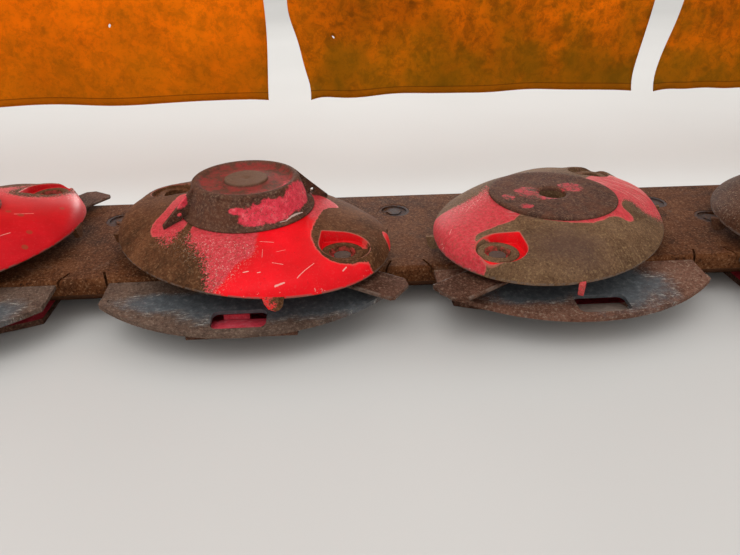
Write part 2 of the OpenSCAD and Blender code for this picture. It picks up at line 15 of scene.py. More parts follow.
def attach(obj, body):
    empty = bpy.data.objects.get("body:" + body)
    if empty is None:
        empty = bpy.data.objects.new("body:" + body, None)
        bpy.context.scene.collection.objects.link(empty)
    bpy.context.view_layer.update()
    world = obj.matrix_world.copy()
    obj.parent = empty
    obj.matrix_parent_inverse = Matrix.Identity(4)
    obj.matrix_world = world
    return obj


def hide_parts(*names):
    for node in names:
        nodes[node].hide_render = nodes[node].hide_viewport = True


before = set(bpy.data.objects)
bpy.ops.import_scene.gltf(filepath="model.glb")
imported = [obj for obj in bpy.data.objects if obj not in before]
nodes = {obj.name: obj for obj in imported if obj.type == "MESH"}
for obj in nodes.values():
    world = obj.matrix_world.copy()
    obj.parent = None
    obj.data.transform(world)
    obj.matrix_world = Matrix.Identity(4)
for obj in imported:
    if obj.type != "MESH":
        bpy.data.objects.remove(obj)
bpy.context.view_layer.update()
MM = 0.001
FULL_TURN = 2 * math.pi

# Sizes

DISCS = range(1, 7)
HATS = (1, 3, 6)
PITCH, FIRST_X, AXIS_Y = 400, -1100, -82
AXIS = {k: (FIRST_X + PITCH * (k - 1), AXIS_Y) for k in DISCS}
DISC_ANGLE = dict(zip(DISCS, (139, 49, -41, -131, -139, -49)))
SIDES = (0, 180)
LONG_R, SHORT_R, HAT_EXTRA = 188, 142, 9
PLATEAU_R, PLATEAU_Z = 83, 119
RIM_Z, RIM_EDGE, SHEET = 80, 4, 5
BOLT_R, POCKET_Z, WELL_DEPTH = 155, 97, 9
RING_R, RING_H, WELL_R, PIN_R = 25, 2.5, 15.5, 10.25
BORE_R, BORE_SIDES = 17.2, 40
HAT_TOP_R, HAT_H, HAT_PLATE_R = 68.5, 39.5, 27
VANE_ANGLE, VANE_REACH, VANE_T = 65, 110, 6
VANE_HOLE, VANE_HOLE_R = (88, 125), 3.5
RECESS_R, RECESS_SHIFT, RECESS_CORNER = 30, 4, (-40, 8)
POCKET_RISE, POCKET_TILT = 8.5, 7
LUG_ANGLE, LUG_T = 36, 6
LUG_TURN = {k: 79 if k <= 3 else -25 for k in DISCS}
SLOT_SHIFT = {3: -3, 4: 17}
SECTORS, TURNED_SIDES = 220, 160


# Camera

FOCAL_PX, FRAME_PX, SENSOR = 606, 740, 36
CAMERA_PLACE = (-0.194, -0.819, 0.424)
CAMERA_TURNS = (29.58, 3.89, -0.44)


def new_object(name, data):
    obj = bpy.data.objects.new(name, data)
    bpy.context.scene.collection.objects.link(obj)
    return obj


def make_camera():
    pitch, yaw, roll = (math.radians(a) for a in CAMERA_TURNS)
    forward = Vector((math.sin(yaw) * math.cos(pitch), math.cos(yaw) * math.cos(pitch), -math.sin(pitch)))
    side = Vector((math.cos(yaw), -math.sin(yaw), 0))
    up = side.cross(forward)
    right = side * math.cos(roll) + up * math.sin(roll)
    top = up * math.cos(roll) - side * math.sin(roll)
    data = bpy.data.cameras.new("camera")
    data.sensor_width = SENSOR
    data.lens = FOCAL_PX / FRAME_PX * SENSOR
    data.clip_start, data.clip_end = 0.02, 200
    cam = new_object("camera", data)
    cam.matrix_world = Matrix.Translation(CAMERA_PLACE) @ Matrix((right, top, -forward)).transposed().to_4x4()
    bpy.context.scene.camera = cam


# Materials

class Value:
    """An output of a node. Sums and products with it make Math nodes."""

    def __init__(self, shader, socket):
        self.shader, self.socket = shader, socket

    def __add__(self, other):
        return self.shader.math("ADD", self, other)

    def __sub__(self, other):
        return self.shader.math("SUBTRACT", self, other)

    def __rsub__(self, other):
        return self.shader.math("SUBTRACT", other, self)

    def __mul__(self, other):
        return self.shader.math("MULTIPLY", self, other)

    def step(self, low, high):
        """0 below low, 1 above high, smooth between; low may be above high."""
        rises = low < high
        ends = {"From Min": min(low, high), "From Max": max(low, high), "To Min": not rises, "To Max": rises}
        return self.shader.node("MapRange", "Result", {"Value": self, **ends}, interpolation_type="SMOOTHSTEP")


class Shader:
    """A material with a Principled shader, and short calls for the nodes that feed it."""

    def __init__(self, name, seed=0.0):
        self.material = bpy.data.materials.new(name)
        self.material.use_nodes = True
        self.tree = self.material.node_tree
        self.tree.nodes.clear()
        self.output = self.tree.nodes.new("ShaderNodeOutputMaterial")
        self.bsdf = self.tree.nodes.new("ShaderNodeBsdfPrincipled")
        self.tree.links.new(self.bsdf.outputs[0], self.output.inputs[0])
        self.place = self.node("TexCoord", "Object")
        self.seed = seed

    def link(self, value, socket):
        if isinstance(value, Value):
            self.tree.links.new(value.socket, socket)
        elif isinstance(value, tuple) and socket.type == "RGBA":
            socket.default_value = (*value, 1)
        else:
            socket.default_value = value

    def node(self, kind, output=0, inputs=None, **settings):
        """One output of a new node, with its settings made and its inputs filled or linked."""
        node = self.tree.nodes.new("ShaderNode" + kind)
        for name, setting in settings.items():
            setattr(node, name, setting)
        for key, value in (inputs or {}).items():
            self.link(value, node.inputs[key])
        return Value(self, node.outputs[output])

    def mapped(self, scale=(1, 1, 1), turn=(0, 0, 0), shift=(0, 0, 0), source=None):
        turns = tuple(math.radians(a) for a in turn)
        inputs = {"Vector": source or self.place, "Location": shift, "Rotation": turns, "Scale": scale}
        return self.node("Mapping", 0, inputs)

    def noise(self, size, detail=4, rough=0.55, distort=0.0, place=None, seed=0.0):
        """Noise from 0 to 1 whose blotches are about size millimetres wide."""
        inputs = {"Vector": place or self.place, "W": self.seed + seed, "Scale": 1000 / size,
                  "Detail": detail, "Roughness": rough, "Distortion": distort}
        return self.node("TexNoise", "Fac", inputs, noise_dimensions="4D")

    def cells(self, size, randomness=1.0):
        inputs = {"Vector": self.place, "Scale": 1000 / size, "Randomness": randomness}
        return self.node("TexVoronoi", "Distance", inputs)

    def attribute(self, name):
        return self.node("Attribute", "Fac", attribute_name=name)

    def math(self, kind, a, b=0.0, clamp=False):
        return self.node("Math", 0, {0: a, 1: b}, operation=kind, use_clamp=clamp)

    def most(self, values):
        return reduce(lambda a, b: self.math("MAXIMUM", a, b), values)

    def mix(self, factor, a, b):
        return self.node("Mix", 2, {"Factor": factor, 6: a, 7: b}, data_type="RGBA")

    def level(self, factor, a, b):
        """As mix, between two plain numbers or values."""
        return self.mix(factor, *(v if isinstance(v, Value) else (v,) * 3 for v in (a, b)))

    def layers(self, colour, *stains):
        """Colour with stains laid over it, each a mask and a colour."""
        return reduce(lambda under, stain: self.mix(stain[0], under, stain[1]), stains, colour)

    def ramp(self, value, *stops):
        node = self.tree.nodes.new("ShaderNodeValToRGB")
        elements = node.color_ramp.elements
        while len(elements) < len(stops):
            elements.new(0.5)
        for element, (position, colour) in zip(elements, stops):
            element.position = position
            element.color = (*colour, 1)
        self.link(value, node.inputs["Fac"])
        return Value(self, node.outputs["Color"])

    def split(self, source=None):
        """The X, Y and Z of a place."""
        x = self.node("SeparateXYZ", 0, {0: source or self.place})
        return [Value(self, socket) for socket in x.socket.node.outputs]

    def upward(self):
        """1 on faces that look up, 0 on walls, -1 below."""
        return self.split(self.node("TexCoord", "Normal"))[2]

    def bump(self, height, distance):
        return self.node("Bump", 0, {"Height": height, "Distance": distance * MM})

    def blobs(self, patches, soft, wobble):
        """1 inside oval patches with a wavy border. Each is a centre and a radius each way."""
        found = []
        for centre, radius in patches:
            off = self.node("VectorMath", 0, {0: self.place, 1: [c * MM for c in centre]}, operation="SUBTRACT")
            off = self.node("VectorMath", 0, {0: off, 1: [1000 / q for q in radius]}, operation="MULTIPLY")
            far = self.node("VectorMath", "Value", {0: off}, operation="LENGTH") + (wobble - 0.5) * 1.6
            found.append(far.step(1 + soft, 1 - soft))
        return self.most(found)

    def strokes(self, marks):
        """1 along straight scratches seen in plan. Each is a start, an end and a width."""
        x, y, _ = self.split()
        broken = self.noise(2.2, 2, 0.6)
        found = []
        for (ax, ay), (bx, by), width in marks:
            dx, dy = (bx - ax) * MM, (by - ay) * MM
            from_x, from_y = x - ax * MM, y - ay * MM
            along = self.math("DIVIDE", from_x * dx + from_y * dy, dx * dx + dy * dy, clamp=True)
            off_x, off_y = from_x - along * dx, from_y - along * dy
            off = self.math("SQRT", off_x * off_x + off_y * off_y)
            far = self.math("DIVIDE", off, 0.42 * width * MM) + broken * 1.6
            found.append(far.step(1.9, 1.2))
        return self.most(found)

    def around(self, centre, turn):
        """Place measured round and out from an upright axis, for streaks that follow a spinning disc."""
        x, y, _ = self.split(self.mapped(shift=(-centre[0] * MM, -centre[1] * MM, 0)))
        radius = self.math("SQRT", x * x + y * y)
        angle = self.math("ARCTAN2", y, x) * 0.14
        return self.mapped(turn=(0, 0, turn), source=self.node("CombineXYZ", 0, {0: angle, 1: radius}))

    def set(self, **values):
        for name, value in values.items():
            self.link(value, self.bsdf.inputs[name.replace("_", " ")])

    def done(self, colour, rough, relief, depth, **more):
        """Fills in the shader and gives the material. relief is raised by depth."""
        self.set(Base_Color=colour, Roughness=rough, Normal=self.bump(relief, depth), **more)
        return self.material

    def rust(self, tones, grain=1.0):
        """Blotchy rust: large stains, middle blotches and a fine grain of pale and dark specks."""
        dark, middle, light, speck = tones
        small = self.noise(14, 6, 0.65, seed=3)
        fine = self.noise(3.0, 4, 0.8, seed=7)
        grain = min(1, 0.85 * grain)
        colour = self.ramp(self.noise(90, 5, 0.6, 0.6), (0.32, dark), (0.5, middle), (0.68, light))
        colour = self.layers(
            colour, (small.step(0.46, 0.7) * 0.55, light), (small.step(0.5, 0.3) * 0.6, dark),
            (fine.step(0.52, 0.64) * grain, speck), (fine.step(0.48, 0.36) * grain, tuple(c * 0.3 for c in dark)))
        return colour, small, fine


# Rust tones: dark, middle, light and speck
BROWN = [(0.045, 0.018, 0.006), (0.096, 0.034, 0.012), (0.145, 0.056, 0.022), (0.24, 0.12, 0.055)]
OLIVE = [(0.075, 0.038, 0.018), (0.130, 0.068, 0.034), (0.175, 0.100, 0.054), (0.31, 0.20, 0.095)]
RED_BROWN = [(0.042, 0.017, 0.009), (0.080, 0.033, 0.019), (0.115, 0.052, 0.034), (0.22, 0.13, 0.09)]
GUARD_RED = [(0.060, 0.024, 0.014), (0.125, 0.052, 0.032), (0.180, 0.085, 0.055), (0.34, 0.25, 0.18)]
DARK_BROWN = [(0.030, 0.011, 0.005), (0.060, 0.023, 0.011), (0.088, 0.035, 0.017), (0.15, 0.075, 0.04)]
GUARD_BROWN = [(0.045, 0.026, 0.018), (0.085, 0.050, 0.036), (0.135, 0.082, 0.058), (0.25, 0.18, 0.13)]
HAT_BROWN = [(0.032, 0.014, 0.009), (0.072, 0.032, 0.021), (0.105, 0.050, 0.034), (0.25, 0.15, 0.095)]
BAR_BROWN = [(0.036, 0.012, 0.004), (0.086, 0.027, 0.008), (0.130, 0.048, 0.018), (0.22, 0.11, 0.055)]
GREY_BROWN = [(0.045, 0.026, 0.018), (0.085, 0.050, 0.036), (0.125, 0.080, 0.060), (0.24, 0.17, 0.13)]


def rusty(name, tones, seed, bump=0.5, patches=None):
    """Rusty steel; patches is a second colour for large stains and how much of the surface they take."""
    s = Shader(name, seed)
    colour, small, fine = s.rust(tones)
    if patches:
        stain, share = patches
        where = s.noise(70, 7, 0.68, 0.6, seed=9).step(1 - share - 0.06, 1 - share + 0.06)
        mottle = s.noise(4, 5, 0.8, seed=10).step(0.38, 0.56)
        colour = s.mix(where * (mottle * 0.6 + 0.25), colour, stain)
    return s.done(colour, small * 0.25 + 0.68, small * 0.8 + fine * 0.35, bump, Metallic=0.05, Specular_IOR_Level=0.08)


def disc_paint(name, tones, centre, seed, scratches, spots, depth, stain):
    """Red paint over rust. The mesh carries where paint is left, faded, speckled, scuffed, lipped and worn."""
    s = Shader(name, seed)
    rust, small, fine = s.rust(tones, 0.65)
    if stain:
        dark = s.blobs([(stain, (46, 34, 30))], 0.6, s.noise(30, 6, 0.7, 0.5, seed=57))
        rust = s.mix(dark * 0.55, rust, (0.080, 0.044, 0.036))
    marks = ("paint", "fade", "worn", "speckle", "scuff", "lip")
    paint, fade, worn, speckle, scuff, lip_line = (s.attribute(mark) for mark in marks)

    ragged = s.noise(9, 7, 0.72, 0.4, seed=11) - 0.5
    crumbs = s.noise(2.2, 3, 0.75, seed=13) - 0.5
    edge = paint + ragged * 0.36 + crumbs * 0.14 - speckle * (crumbs * 3.6 + 0.30)
    left = edge.step(-0.02, 0.05)
    lip = edge.step(-0.10, 0.0) * edge.step(0.13, 0.03)

    large = s.noise(60, 4, 0.6, seed=17).step(0.35, 0.7)
    fresh = s.mix(large, (0.66 * depth, 0.002, 0.006), (0.86 * depth, 0.003, 0.010))
    fresh = s.mix(s.noise(4, 5, 0.75, seed=18).step(0.58, 0.75), fresh, (0.42, 0.006, 0.010))
    pale = s.mix(s.noise(5, 6, 0.8, seed=19).step(0.35, 0.65), (0.48, 0.022, 0.032), (0.64, 0.064, 0.076))
    blotch = (s.noise(30, 5, seed=23) - 0.5) * 0.8
    dirt = s.noise(3.0, 5, 0.85, seed=29).step(0.50, 0.58)
    streaks = s.mapped(scale=(0.5, 7, 1), source=s.around(centre, 24))
    streak = s.noise(26, 6, 0.8, 0.3, place=streaks, seed=31).step(0.47, 0.64)
    rim_chips = s.noise(6, 4, 0.7, seed=41).step(0.62, 0.66) * worn.step(0.45, 0.7)
    flecks = s.noise(2.2, 4, 0.8, seed=33).step(0.56, 0.62) * (speckle * 0.9 + 0.05)
    marks = s.most([rim_chips, flecks] + ([s.strokes(scratches)] if scratches else []))

    red = s.layers(
        s.mix((fade + blotch).step(0.36, 0.64), fresh, pale), (dirt * (fade * 0.42 + 0.05), tones[1]),
        (streak * (scuff * 0.8), (0.66, 0.34, 0.29)), (marks * 0.85, (0.74, 0.38, 0.32)),
        (lip * 0.5, (0.58, 0.14, 0.11)))
    rust = s.layers(rust, (streak * (scuff * 0.5), (0.50, 0.22, 0.17)), (flecks * 0.8, (0.36, 0.26, 0.18)))
    if spots:
        spot = s.cells(26).step(0.17, 0.12) * s.noise(50, 2, seed=53).step(0.42, 0.5)
        red = s.mix(spot * 0.6, red, (0.24, 0.060, 0.020))
    line = lip_line.step(0.70, 0.92) * s.noise(12, 5, 0.7, seed=47).step(0.34, 0.5)
    bare = worn.step(0.90, 1.0) * s.noise(7, 4, seed=43).step(0.38, 0.54)
    colour = s.layers(s.mix(left, rust, red), (line * 0.5, (0.48, 0.15, 0.11)), (bare * 0.65, (0.125, 0.095, 0.080)))
    height = left * 0.45 + (small + fine) * 0.28 - marks * 0.25
    return s.done(colour, s.level(left, 0.82, s.level(fade, 0.42, 0.66)), height, 0.45, Specular_IOR_Level=0.12)


def hat_material(name, seed, patches, scuffs=(), red=1.0):
    """Dark rusty steel with patches of worn red paint, speckled through. Dish and plate are marked on the mesh."""
    s = Shader(name, seed)
    rust, small, fine = s.rust(HAT_BROWN, 0.8)
    dish, plate, foot = s.attribute("dish"), s.attribute("plate"), s.attribute("foot")
    dull = s.mix(s.noise(18, 6, 0.75, seed=21).step(0.40, 0.56), (0.105, 0.042, 0.026), (0.26, 0.036, 0.030))
    rust = s.layers(
        rust, (s.noise(24, 6, 0.7, 0.5, seed=3).step(0.42, 0.6) * 0.5, (0.125, 0.045, 0.022)),
        (s.noise(2.0, 4, 0.8, seed=6).step(0.58, 0.68) * 0.6, (0.36, 0.22, 0.13)),
        (dish * s.noise(3, 4, 0.8, seed=22).step(0.36, 0.5), dull),
        (plate * 0.75, s.mix(fine, (0.10, 0.052, 0.032), (0.20, 0.115, 0.072))))
    mask = s.blobs(patches, 0.12, s.noise(16, 7, 0.75, 0.5, seed=5))
    if red == 1:
        crumbs = s.noise(2.4, 5, 0.85, seed=9).step(0.38, 0.47)
    else:
        crumbs = s.noise(9, 8, 0.85, seed=9).step(0.46, 0.56)
    pink = s.ramp(s.noise(7, 5, 0.7, seed=15),
                  (0.3, (0.50, 0.020, 0.036)), (0.55, (0.72, 0.052, 0.082)), (0.8, (0.74, 0.24, 0.23)))
    marks = s.noise(2.4, 4, 0.8, seed=27).step(0.62, 0.70) * s.most([mask * 0.8, foot * 0.9])
    if scuffs:
        marks = s.most([marks, s.strokes(scuffs)])
    colour = s.layers(rust, (mask * crumbs * red, pink), (marks * 0.8, (0.62, 0.46, 0.40)))
    height = mask * 0.5 + (small + fine * 0.6)
    return s.done(colour, s.level(mask, 0.76, 0.6), height, 0.45, Metallic=0.1, Specular_IOR_Level=0.12)


def guard_material(name, steel, seed, tones):
    """Bare blue-grey steel in the middle, brown rust to the sides and the lip."""
    s = Shader(name, seed)
    rust, small, fine = s.rust(tones, 0.7)
    bare = s.ramp(s.noise(6, 5, 0.7, seed=5),
                  (0.3, (0.050, 0.054, 0.058)), (0.55, (0.092, 0.100, 0.108)), (0.78, (0.22, 0.22, 0.22)))
    mask = s.blobs(steel, 0.35, s.noise(34, 6, 0.7, 0.4, seed=2))
    streaks = s.mapped(scale=(1, 6, 1), turn=(0, 0, 12))
    scratches = s.noise(11, 6, 0.8, 0.4, place=streaks, seed=8).step(0.54, 0.62)
    border = mask * (1.0 - mask) * 4
    colour = s.layers(rust, (mask, bare), (scratches * (border * 0.8 + 0.06), (0.46, 0.43, 0.38)))
    return s.done(colour, s.level(mask, 0.78, 0.50), small + fine * 0.5, 0.4,
                  Metallic=mask * 0.15, Specular_IOR_Level=0.15)


def shoe_material(name):
    """Skid shoes: red paint left in front under the guards, worn brown on the sole."""
    s = Shader(name, 61)
    rust, small, fine = s.rust(RED_BROWN)
    mask = (s.noise(20, 6, 0.7, 0.5, seed=1) + (s.upward() - 0.4) * 0.3).step(0.50, 0.58)
    red = s.ramp(s.noise(9, 5, 0.7, seed=2),
                 (0.3, (0.34, 0.018, 0.026)), (0.6, (0.62, 0.050, 0.075)), (0.8, (0.70, 0.20, 0.20)))
    return s.done(s.mix(mask, rust, red), s.level(mask, 0.78, 0.6), small + fine * 0.5, 0.4, Specular_IOR_Level=0.12)


def old_paint(name, seed, amount):
    """Dull red paint with rust breaking through, for the frame and the gearbox."""
    s = Shader(name, seed)
    rust, small, fine = s.rust(BROWN)
    ragged = s.noise(26, 8, 0.72, 0.5, seed=4)
    bare = 1 - amount
    left = ragged.step(bare - 0.04, bare + 0.03)
    lip = ragged.step(bare - 0.07, bare - 0.02) * ragged.step(bare + 0.06, bare + 0.01)
    red = s.ramp(s.noise(45, 5, 0.6, seed=6),
                 (0.3, (0.34, 0.012, 0.014)), (0.6, (0.52, 0.022, 0.026)), (0.8, (0.50, 0.085, 0.085)))
    colour = s.layers(rust, (left, red), (lip * 0.5, (0.52, 0.20, 0.15)))
    return s.done(colour, s.level(left, 0.8, 0.45), left * 0.5 + (small * 0.5 + fine * 0.3), 0.45)


def knife_material(name, seed):
    """Brown knives with ground edges."""
    s = Shader(name, seed)
    rust, small, fine = s.rust(RED_BROWN, 0.8)
    ground = s.upward().step(0.985, 0.93) * s.noise(12, 4, seed=4).step(0.38, 0.6)
    colour = s.mix(ground * 0.5, rust, (0.17, 0.125, 0.10))
    return s.done(colour, s.level(ground, 0.8, 0.5), small + fine * 0.5, 0.35, Specular_IOR_Level=0.12)


def steel_material(name, seed, colour=(0.30, 0.27, 0.25), metallic=0.6, rough=0.45):
    """Worn bare steel with rust in the pits."""
    s = Shader(name, seed)
    rust, small, _ = s.rust(GREY_BROWN)
    bare = s.noise(5, 6, 0.75, seed=2).step(0.60, 0.48)
    pale = tuple(min(1, c * 1.3) for c in colour)
    tone = s.mix(s.noise(3, 4, 0.7, seed=3), tuple(c * 0.6 for c in colour), pale)
    return s.done(s.mix(bare, rust, tone), s.level(bare, 0.8, rough), small + bare * 0.4, 0.3,
                  Metallic=bare * metallic, Specular_IOR_Level=0.15)


def curtain_material(name):
    """Orange coated fabric that glows where light comes through, under brown and olive dirt. The left flaps are painted
    brighter, as painted light for the stronger glow through them.
    """
    s = Shader(name)
    wash = s.noise(170, 5, 0.6, 0.8, seed=71)
    mottled = s.noise(26, 7, 0.72, 0.7, seed=73)
    # painted light: left of x = -0.15 m the orange is brighter, with less of the dark mottling, specks and olive, for
    # the stronger glow through the left flaps
    painted_light_left = s.split()[0].step(-0.15, -0.35)
    low, hem = s.attribute("low"), s.attribute("hem")
    olive = (low + (s.noise(60, 6, 0.7, seed=77) - 0.5) * 1.2).step(0.50, 1.05)
    # darker, long and thin streaks across the flaps, slightly slanted
    dark_streak_place = s.mapped(scale=(0.35, 1, 2.2), turn=(0, 14, 0))
    dark_streak = s.noise(60, 6, 0.7, 0.3, place=dark_streak_place, seed=79).step(0.62, 0.68)
    worn = s.ramp(wash, (0.3, (0.50, 0.165, 0.002)), (0.5, (0.74, 0.255, 0.002)), (0.72, (0.92, 0.335, 0.003)))
    orange = s.layers(
        worn, (painted_light_left, s.ramp(wash, (0.3, (0.78, 0.255, 0.002)), (0.7, (0.90, 0.325, 0.003)))),
        (mottled.step(0.46, 0.62) * (0.50 - painted_light_left * 0.26), (0.19, 0.078, 0.004)),
        (s.noise(9, 7, 0.8, seed=75).step(0.48, 0.58) * (0.34 - painted_light_left * 0.12), (0.12, 0.056, 0.006)),
        (s.noise(6, 7, 0.85, 0.3, seed=83).step(0.60, 0.68) * 0.5, (0.11, 0.045, 0.004)),
        (olive * (0.66 - painted_light_left * 0.3), (0.28, 0.172, 0.006)),
        (hem.step(0.30, 0.42) * 0.50, (0.50, 0.190, 0.004)),
        (hem.step(0.22, 0.30) * hem.step(0.42, 0.34) * 0.65, (0.12, 0.045, 0.004)),
        (dark_streak * 0.30, (0.16, 0.060, 0.005)))
    weave = s.cells(1.6, randomness=0.2) * 0.5
    bump = s.bump(mottled * 0.8 + weave, 0.35)
    s.set(Base_Color=orange, Normal=bump, Roughness=mottled * 0.2 + 0.55, Specular_IOR_Level=0.1)
    glow = s.node("BsdfTranslucent", 0, {"Color": orange, "Normal": bump})
    both = s.node("MixShader", 0, {0: 0.66, 1: Value(s, s.bsdf.outputs[0]), 2: glow})
    s.link(both, s.output.inputs[0])
    return s.material


def riser_material(name, tones):
    s = Shader(name)
    wear = s.noise(7, 6, 0.75, seed=81)
    chips = s.noise(9, 6, 0.8, seed=82).step(0.60, 0.66)
    colour = s.mix(chips, s.ramp(wear, *zip((0.3, 0.5, 0.66), tones)), (0.12, 0.055, 0.035))
    return s.done(colour, wear * 0.3 + 0.45, wear, 0.3)


def floor_material():
    s = Shader("studio_floor")
    tone = s.ramp(s.noise(900, 3, 0.5, seed=91), (0.3, (0.555, 0.542, 0.524)), (0.7, (0.605, 0.592, 0.574)))
    s.set(Base_Color=tone, Roughness=s.noise(300, 3, seed=92) * 0.1 + 0.8)
    return s.material


# Mesh helpers

def shade(mesh, sharp=30):
    mesh.shade_smooth()
    mesh.set_sharp_from_angle(angle=math.radians(sharp))


def mesh_object(name, points, faces, material, body, slot=None, marks=None, sharp=30):
    """A new piece from points in millimetres. Marks are lists of one number a point."""
    mesh = bpy.data.meshes.new(name)
    mesh.from_pydata([tuple(p) for p in np.asarray(points, float) * MM], [], [tuple(f) for f in faces])
    for key, values in (marks or {}).items():
        mesh.attributes.new(key, "FLOAT", "POINT").data.foreach_set("value", np.asarray(values, np.float32))
    mesh.validate()
    shade(mesh, sharp)
    mesh.materials.append(material)
    obj = new_object(name, mesh)
    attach(obj, body)
    return obj


def lathe(profile, count):
    """Points and faces of a turned shape; profile is a list of (radius, height)."""
    points, faces, rings = [], [], []
    for radius, height in profile:
        start = len(points)
        if radius == 0:
            rings.append([start] * count)
            points.append((0, 0, height))
        else:
            turns = [FULL_TURN * i / count for i in range(count)]
            points += [(radius * math.cos(a), radius * math.sin(a), height) for a in turns]
            rings.append(list(range(start, start + count)))
    for lower, upper in zip(rings, rings[1:]):
        for i in range(count):
            j = (i + 1) % count
            quad = list(dict.fromkeys((lower[i], lower[j], upper[j], upper[i])))
            if len(quad) > 2:
                faces.append(quad)
    return points, faces


def prism(outline, near, far, across):
    """A plate from an outline, drawn from near to far along X (across 0) or Y (across 1)."""
    count = len(outline)
    points = [(*p[:across], depth, *p[across:]) for depth in (near, far) for p in outline]
    faces = [tuple(range(count)), tuple(reversed(range(count, 2 * count)))]
    faces += [(i, i + count, (i + 1) % count + count, (i + 1) % count) for i in range(count)]
    return points, faces


def bands(rows, count):
    """Faces between closed rows of count points each."""
    return [(j * count + i, (j + 1) * count + i, (j + 1) * count + (i + 1) % count, j * count + (i + 1) % count)
            for j in range(rows - 1) for i in range(count)]


def joined(parts):
    """One list of points and faces from several."""
    points, faces = [], []
    for p, f in parts:
        base = len(points)
        points.extend(p)
        faces.extend(tuple(base + v for v in face) for face in f)
    return points, faces


def moved(part, matrix):
    return [tuple(matrix @ Vector(p)) for p in part[0]], part[1]


def shift(x, y, z=0):
    return Matrix.Translation((x, y, z))


def spin(degrees, axis="Z"):
    return Matrix.Rotation(math.radians(degrees), 4, axis)


def at(centre, place):
    """A place beside a centre, given in plan, with what follows kept."""
    return (centre[0] + place[0], centre[1] + place[1], *place[2:])


def placed(k, table, others=()):
    """The marks that a table holds for disc k, from its axis: each is one place or two, and a size."""
    return [(*(at(AXIS[k], place) for place in places), size) for *places, size in table.get(k, others)]


def circle(radius, turns):
    return np.stack([radius * np.cos(turns), radius * np.sin(turns)], 1)


def polar(points):
    """Distance and bearing of points in plan."""
    return np.hypot(points[:, 0], points[:, 1]), np.arctan2(points[:, 1], points[:, 0])


def even_turns(count):
    return np.arange(count) * FULL_TURN / count


def turned(points, degrees):
    a = math.radians(degrees)
    x, y = points[:, 0], points[:, 1]
    return np.stack([x * math.cos(a) - y * math.sin(a), x * math.sin(a) + y * math.cos(a)], 1)


def fall(distance, reach=1.0):
    """1 at no distance, 0 from reach on."""
    return np.clip(1 - distance / reach, 0, 1)


def smooth01(value, low, high):
    t = np.clip((value - low) / (high - low), 0, 1)
    return t * t * (3 - 2 * t)


def inside_depth(points, corners, rounds=3):
    """Distance of each point to an outline, above 0 inside it. The outline's corners are cut round."""
    loop = np.array(corners, float)
    for _ in range(rounds):
        after = np.roll(loop, -1, 0)
        loop = np.stack([0.75 * loop + 0.25 * after, 0.25 * loop + 0.75 * after], 1).reshape(-1, 2)
    ends = np.roll(loop, -1, 0)
    best = np.full(len(points), 1e9)
    inside = np.zeros(len(points), bool)
    x, y = points[:, 0], points[:, 1]
    for (ax, ay), (dx, dy), by in zip(loop, ends - loop, ends[:, 1]):
        t = np.clip(((x - ax) * dx + (y - ay) * dy) / max(dx * dx + dy * dy, 1e-9), 0, 1)
        best = np.minimum(best, np.hypot(x - ax - t * dx, y - ay - t * dy))
        if abs(dy) > 1e-12:
            inside ^= ((ay > y) != (by > y)) & (x < ax + (y - ay) * dx / dy)
    return np.where(inside, best, -best)


def deepest(points, outlines):
    """Depth inside the nearest of several outlines, or -30 far outside."""
    return reduce(np.maximum, (inside_depth(points, outline) for outline in outlines), np.full(len(points), -30.0))


def cut_sheet(grid, loops):
    """Points and triangles of a flat sheet from loose points and loops. Each loop is free, an edge or a hole."""
    edges, at_point = [], len(grid)
    for loop, kind in loops:
        if kind != "free":
            edges += [(at_point + i, at_point + (i + 1) % len(loop)) for i in range(len(loop))]
        at_point += len(loop)
    flat = [Vector(p) for p in np.concatenate([grid] + [loop for loop, _ in loops])]
    out, _, tris, *_ = delaunay_2d_cdt(flat, edges, [], 0, 1e-6)
    out = np.array([tuple(v) for v in out])
    tris = np.array([t for t in tris if len(t) == 3])
    middle = out[tris].mean(1)
    keep = np.ones(len(tris), bool)
    for loop, kind in loops:
        if kind != "free":
            keep &= (inside_depth(middle, loop, 0) > 0) == (kind == "edge")
    return out, tris[keep]


# Discs

def rim_radius(angle, extra):
    long_r, short_r = LONG_R + extra, SHORT_R + extra
    return long_r * short_r / np.hypot(short_r * np.cos(angle), long_r * np.sin(angle))


def rim_gap(plan, extra):
    """How far points lie inside the disc's rim."""
    radius, angle = polar(plan)
    return rim_radius(angle, extra) - radius


def dome_height(plan, extra):
    """Height of the disc's outer surface: fuller towards the knives than across them."""
    radius, angle = polar(plan)
    t = np.clip((radius - PLATEAU_R) / (rim_radius(angle, extra) - PLATEAU_R), 0, 1)
    full = 1 - smooth01(np.abs((np.degrees(angle) + 90) % 180 - 90), 22, 62)
    plain = 0.55 * t + 0.45 * t * t
    round_ = 0.55 * t + 0.45 * t ** 20
    return PLATEAU_Z - (PLATEAU_Z - RIM_Z - RIM_EDGE) * (full * round_ + (1 - full) * plain)


def recess_outline(count=112):
    """Radius of the sunk pocket about the knife bolt, by angle: a circle drawn out to one corner."""
    centre = np.array([0.0, RECESS_SHIFT])
    corner = np.array(RECESS_CORNER, float)
    away = corner - centre
    reach = np.hypot(*away)
    half = math.acos(RECESS_R / reach)
    base = math.atan2(away[1], away[0])
    arc = centre + circle(RECESS_R, np.linspace(base + half, base + FULL_TURN - half, 400))
    tip = corner - away / reach * 1.5
    sides = [start + (end - start) * np.linspace(0, 1, 60)[:, None] for start, end in ((arc[-1], tip), (tip, arc[0]))]
    path = np.concatenate([arc] + sides)
    radii, angles = polar(path)
    order = np.argsort(angles)
    wanted = np.linspace(-math.pi, math.pi, count, endpoint=False)
    return wanted, np.interp(wanted, angles[order], radii[order], period=FULL_TURN)


POCKET_TURNS, POCKET_RADII = recess_outline()
# Rings of the shell between plateau and rim, as shares of the way out
RING_SHARES = [0.06, 0.13, 0.2, 0.27, 0.34, 0.41, 0.48, 0.55, 0.62, 0.69, 0.75, 0.81,
               0.86, 0.9, 0.93, 0.955, 0.975, 0.99, 1.0]
